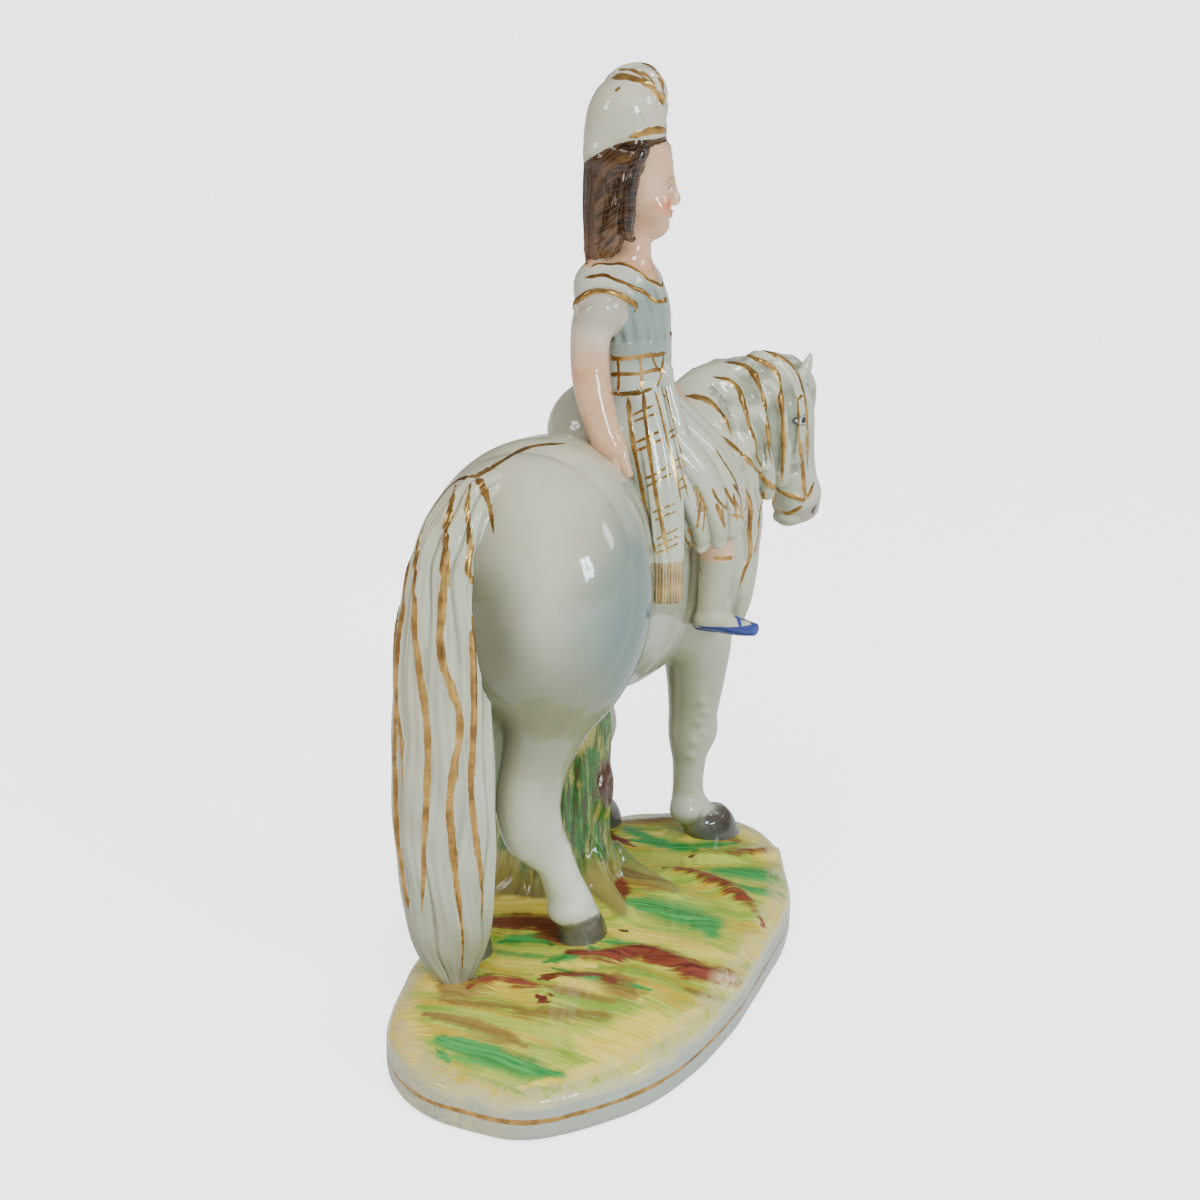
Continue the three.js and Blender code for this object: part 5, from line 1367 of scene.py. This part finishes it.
    # hair: brown streaks drawn along the locks
    hv = p.xyz(p.mul(p.a("hu"), 1.0), p.mul(p.a("hv"), 0.13), 0.0)
    st = p.noise(1.25, 4, 0.65, vec=hv)
    lo = p.noise(0.3, 3, 0.6, vec=hv)
    hair = p.mix(p.soft(st, 0.38, 0.62), (0.014, 0.006, 0.002), (0.09, 0.040, 0.014))
    hair = p.mix(p.mul(p.soft(lo, 0.5, 0.7), 0.6), hair, (0.17, 0.08, 0.03))
    hair = p.mix(p.mul(p.soft(p.z, 212, 201), p.soft(st, 0.36, 0.52), 0.65), hair, (0.22, 0.10, 0.038))
    hair = p.mix(p.mul(p.soft(st, 0.40, 0.30), 0.8), hair, (0.012, 0.005, 0.002))
    hair = p.mix(p.soft(p.a("lk"), -0.4, 0.2), hair, p.mix(p.soft(st, 0.4, 0.6), (0.010, 0.007, 0.006), (0.05, 0.025, 0.012)))
    hm = p.soft(p.add(p.a("hr"), p.mul(p.add(p.noise(0.8, 2), -0.5), 0.4)), -0.15, 0.15)
    c = p.mix(hm, c, hair)
    # blue sole and straps of the shoes
    b = p.soft(p.a("bl"), -0.12, 0.12)
    bs = p.m("ADD", p.m("MULTIPLY", p.m("SUBTRACT", p.a("w5"), p.m("ABSOLUTE", p.a("s5"))), 7.0), 0.5, clamp=True)
    b = p.m("MAXIMUM", b, p.mul(bs, p.m("MULTIPLY", p.a("m5"), 5.0, clamp=True)))
    c = p.mix(p.mul(b, 0.93), c, p.mix(p.noise(0.8, 3, 0.6), (0.002, 0.012, 0.15), (0.008, 0.04, 0.32)))
    gold = p.gilding((1, 2, 3, 4))
    # gilt fringe at the ends of the sash and of its narrow tie
    comb = p.m("SINE", p.add(p.mul(p.a("fu"), 8.2), p.mul(p.noise(0.35, 2), 4.0)))
    fringe = p.mul(p.add(0.42, p.mul(p.soft(comb, -0.8, 0.1), 0.58)), p.soft(p.add(p.a("fv"), p.mul(p.noise(1.1, 2), 1.2)), 0.2, 0.9))
    gold = p.m("MAXIMUM", gold, p.mul(fringe, 0.9))
    return p.finish(c, gold, rough=p.mul(hm, 0.04), bump=p.mul(hm, st, 1.1), bump_mm=0.07)


# ------------------------------------------------------------------ building the pieces
BUDGET = 196000  # triangles of a piece


def piece(name, ob, mat):
    ob.data.materials.append(mat)
    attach(ob, "root")
    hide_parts("figurine")
    return ob


def near_lines(V, strokes, r=1.6):
    k = np.zeros(len(V))
    for s in strokes:
        idx, d, _, _, _ = nearest(V, s, r)
        if len(idx):
            k[idx] = np.maximum(k[idx], 1 - d / r)
    return k


def lines_on(ob, V, N, sets, first=1):
    for k, st in enumerate(sets, first):
        s, w, m = paint_lines(V, N, st, reach=1.3)
        attr(ob, "s%d" % k, s); attr(ob, "w%d" % k, w); attr(ob, "m%d" % k, m)


# mound and trunk
V, Q, _ = MESH[base_f]
N = normals(V, Q)
V = ripple(V, N, 0.05)
V = press(V, N, MAROON[:4], 1.7, 3.2)
V = press(V, N, [Stroke(s.P - np.array([5.5, 0, 0]), 1.0) for s in MAROON[:4]], -1.3, 4.0)
V = press(V, N, EMERALD[:3] + YELLOW[:2] + BROWN[:2], 0.35, 4.0)
V[:, 2] = np.maximum(V[:, 2], 0)
ob = to_mesh("mound", V, Q, BUDGET)
V, N = coords(ob)
for name, st in (("emr", EMERALD), ("yel", YELLOW), ("mar", MAROON), ("brn", BROWN), ("blk", BLACK)):
    back = [] if name == "blk" else far_dabs(st[:6])
    attr(ob, name, weight(V, st + back))
w = np.arctan2(V[:, 1] / HALF_Y, V[:, 0] / HALF_X)
q = np.hypot(V[:, 0] / HALF_X, V[:, 1] / HALF_Y)
grad = np.sqrt((V[:, 0] / HALF_X ** 2) ** 2 + (V[:, 1] / HALF_Y ** 2) ** 2) / np.maximum(q, 1e-4)
attr(ob, "rim", (outline(w) * 1.0 - q) / np.maximum(grad, 1e-3))
T = base_f.tags(V, 2, 30)
attr(ob, "trunk", np.clip(T[0] - T[1], -6, 6))


def hollow_of(ob, V, N, rounds):
    me = ob.data
    e = np.empty(len(me.edges) * 2, np.int32)
    me.edges.foreach_get("vertices", e)
    e = e.reshape(-1, 2)
    n = len(V)
    cnt = np.maximum(np.bincount(e[:, 0], minlength=n) + np.bincount(e[:, 1], minlength=n), 1)
    S = V.copy()
    for _ in range(rounds):
        A = np.empty_like(S)
        for c in range(3):
            A[:, c] = (np.bincount(e[:, 0], weights=S[e[:, 1], c], minlength=n) + np.bincount(e[:, 1], weights=S[e[:, 0], c], minlength=n)) / cnt
        S = A
    return ((S - V) * N).sum(1)


attr(ob, "hol", hollow_of(ob, V, N, 12))
piece("mound", ob, mound_material())

# pony
V, Q, _ = MESH[pony_f]
N = normals(V, Q)
V = ripple(V, N, 0.09, 8.0)
V = press(V, N, furrow_st, -1.25, 2.0)
V = press(V, N, mane_st + far_st, 0.75, 1.25)
V = press(V, N, hang_st, 0.5, 0.9)
V = press(V, N, rein_st, 0.35, 0.8)
for px in MANE_PITS_PX:
    V = dent(V, N, hits(pony_f, [px])[0], 2.9, 1.25)
V = dent(V, N, nostril_c, 1.7, 0.9)
for px in ((702, 702), (705, 713), (699, 722), (702, 733), (694, 742), (690, 756)):  # hair on the foreleg
    V = dent(V, N, hits(pony_f, [px])[0], 1.5, -0.45)
sets = [mane_st[0::2] + far_st[0::2] + hang_st[0::2] + rein_st[0:1] + rein_st[2:] + croup_st[:1],
        mane_st[1::2] + far_st[1::2] + hang_st[1::2] + rein_st[1:2] + croup_st[1:]]
keep = near_lines(V, sets[0] + sets[1]) > 0
ob = to_mesh("pony", V, Q, BUDGET, keep)
V, N = coords(ob)
lines_on(ob, V, N, sets)
attr(ob, "hol", hollow_of(ob, V, N, 12))
foot = np.full(len(V), 0.0)
for cx, cy in ((-9, 2.4), (-29, 28.4), (72.6, -9), (67.2, 25)):
    foot = np.maximum(foot, np.clip(1.6 - np.hypot(V[:, 0] - cx, V[:, 1] - cy) / 9.5, 0, 1))
attr(ob, "foot", foot)
piece("pony", ob, pony_material())

# tail
V, Q, _ = MESH[tail_f]
N = normals(V, Q)
V = ripple(V, N, 0.06)
V = press(V, N, tail_st, 0.4, 1.2)
ob = to_mesh("tail", V, Q, BUDGET // 2)
V, N = coords(ob)
lines_on(ob, V, N, [tail_st + croup_st])
attr(ob, "hol", hollow_of(ob, V, N, 12))
piece("tail", ob, tail_material())

# rider
V, Q, _ = MESH[rider_f]
N = normals(V, Q)
V = ripple(V, N, 0.03, 5.0)
V = press(V, N, [rider_st[0][4]], 0.65, 1.2)
V = press(V, N, under_st, -0.75, 1.5)
V = press(V, N, [rider_st[0][3], rider_st[1][1]], 0.3, 0.9)
V = press(V, N, cap_st, -0.35, 0.8)
V = press(V, N, lock_st, 0.35, 1.0)
N = normals(V, Q)
every = [s for row in rider_st for s in row]
keep = near_lines(V, every) > 0
ob = to_mesh("rider", V, Q, BUDGET, keep)
V, N = coords(ob)
lines_on(ob, V, N, rider_st)
lines_on(ob, V, N, [blue_st], 5)
D = rider_f.tags(V, 9, 12)
x, y, z = V.T


def inside(k):
    """How much nearer a point is to the parts of tag k than to all others, mm."""
    others = np.min([D[j] for j in range(9) if j != k], axis=0)
    return np.clip((others - D[k]) * 0.5, -3, 3)


shirt = np.minimum(D[0], D[7])
order = np.argsort(neck_line[:, 1])
neck = np.minimum(z - np.interp(y, neck_line[order, 1], neck_line[order, 2]), np.min([D[j] for j in (2, 3, 5)], axis=0) - shirt)
hem_r = -0.73 * x - 0.31 * y - 0.61 * z + 121.6
hem_l = 0.73 * x - 0.31 * y - 0.61 * z + 91.9
arms = np.minimum(np.where(x < 20.3, hem_r, hem_l), (np.min([D[j] for j in (0, 2, 3, 4, 5, 6, 8)], axis=0) - np.minimum(D[1], D[7])) * 0.5)
knee = np.minimum(z - 115.6, (np.min([D[j] for j in (0, 1, 2, 3, 5, 6, 7, 8)], axis=0) - D[4]) * 0.5)
attr(ob, "fl", np.clip(np.max([inside(8), neck, arms, knee], axis=0), -3, 3))
attr(ob, "arm", np.clip(arms, -3, 3))
order = np.argsort(cap_st[0].P[:, 1])
edge = np.interp(y, cap_st[0].P[order, 1], cap_st[0].P[order, 2])
cap_hair = np.clip(np.minimum(inside(3), edge - z), -3, 3)
attr(ob, "hr", np.where(D[3] < D[2], cap_hair, np.minimum(inside(2), np.where(z > edge - 1.5, np.clip(edge - z, -3, 3), 3))))
attr(ob, "bl", np.clip(np.minimum(np.where(x < 37.4, 96.2, 92.2) + 0.10 * (-17 - y) - z, (np.min([D[j] for j in (0, 1, 5, 6)], axis=0) - D[4]) * 0.5), -3, 3))
# locks sweep back and down from the face and hang at the back
back = np.clip((y - 5.5) / 5.0, 0, 1)
back = back * back * (3 - 2 * back)
attr(ob, "hu", (1 - back) * (z + 0.35 * y + 0.032 * (y + 4) ** 2 + 0.5 * np.sin(y * 0.9 + z * 0.3)) + back * (x * 1.0 + 0.5 * np.sin(z * 0.35)) + 40 * (x > 20.5))
attr(ob, "hv", y - 0.35 * z)
attr(ob, "lk", weight(V, lock_st))
attr(ob, "cp", np.minimum(inside(3), z - edge))
fu = np.zeros(len(V)); fv = np.full(len(V), -2.0)
for sw, cut, near in ((sash_s, 0.80, 5), (tie_s, 0.83, 6)):
    sx, sy, _, sa, sb, t = sw.local(V.astype(F32))
    length = np.linalg.norm(np.diff(sw.Q, axis=0), axis=1).sum()
    m = D[near] < 1.2
    fu[m] = sx[m]
    fv[m] = np.minimum((t[m] - cut) * length, 1.2 - D[near][m])
attr(ob, "fu", fu)
attr(ob, "fv", np.clip(fv, -2, 3))
attr(ob, "hol", hollow_of(ob, V, N, 10))
piece("rider", ob, rider_material())

# ------------------------------------------------------------------ floor and light
bpy.ops.mesh.primitive_plane_add(size=10, location=(0, 0, 0))
floor = bpy.context.object
floor.name = "floor"
fm = Paint("floor")
fm.put(fm.bsdf.inputs["Base Color"], fm.mix(fm.noise(0.004, 2), (0.90, 0.90, 0.90), (0.93, 0.93, 0.93)))
fm.bsdf.inputs["Roughness"].default_value = 0.65
lp = fm.nt.nodes.new("ShaderNodeLightPath")
fm.bsdf.inputs["Emission Color"].default_value = (1, 1, 1, 1)
fm.put(fm.bsdf.inputs["Emission Strength"], fm.mul(lp.outputs["Is Camera Ray"], 2.2))
floor.data.materials.append(fm.mat)
world = bpy.data.worlds.new("studio")
bpy.context.scene.world = world
world.use_nodes = True
wt = world.node_tree
tc = wt.nodes.new("ShaderNodeTexCoord")
sp = wt.nodes.new("ShaderNodeSeparateXYZ")
rp = wt.nodes.new("ShaderNodeValToRGB")
wt.links.new(tc.outputs["Generated"], sp.inputs[0])
wt.links.new(sp.outputs["Z"], rp.inputs[0])
wt.links.new(rp.outputs[0], wt.nodes["Background"].inputs["Color"])
rp.color_ramp.elements[0].position = 0.0
rp.color_ramp.elements[0].color = (0.075, 0.08, 0.075, 1)
rp.color_ramp.elements[1].position = 1.0
rp.color_ramp.elements[1].color = (0.40, 0.42, 0.44, 1)
wt.nodes["Background"].inputs["Strength"].default_value = 1.0


def lamp(kind, name, loc, target, power, color=(1, 1, 1), **kw):
    d = bpy.data.lights.new(name, kind)
    d.energy = power
    d.color = color
    for k, v in kw.items():
        setattr(d, k, v)
    o = bpy.data.objects.new(name, d)
    bpy.context.scene.collection.objects.link(o)
    o.location = loc
    o.rotation_euler = (Vector(target) - Vector(loc)).to_track_quat("-Z", "Y").to_euler()
    o.visible_glossy = kind != "SUN"


lamp("SUN", "sun", (-0.62, -0.20, 1.05), (0, 0, 0.1), 2.35, (1.0, 0.985, 0.955), angle=math.radians(50))
lamp("AREA", "side", (0.30, -0.95, 0.60), (0, 0, 0.12), 2.2, (1.0, 0.98, 0.95), size=0.24)
for k, (dx, dz) in enumerate(((-0.06, -0.075), (0.06, -0.075), (-0.06, 0.075), (0.06, 0.075))):
    lamp("AREA", "pane_%d" % k, (-0.66 + dx, -0.98 - dx * 0.4, 0.46 + dz), (0, 0, 0.13), 2.5, (0.72, 0.9, 1.0), shape="RECTANGLE", size=0.10, size_y=0.13)
for k in range(2):
    lamp("AREA", "left_%d" % k, (-0.65, 0.85, 0.55 + 0.2 * k), (0, 0, 0.12), 1.6, (1.0, 0.97, 0.92), shape="RECTANGLE", size=0.26, size_y=0.12)
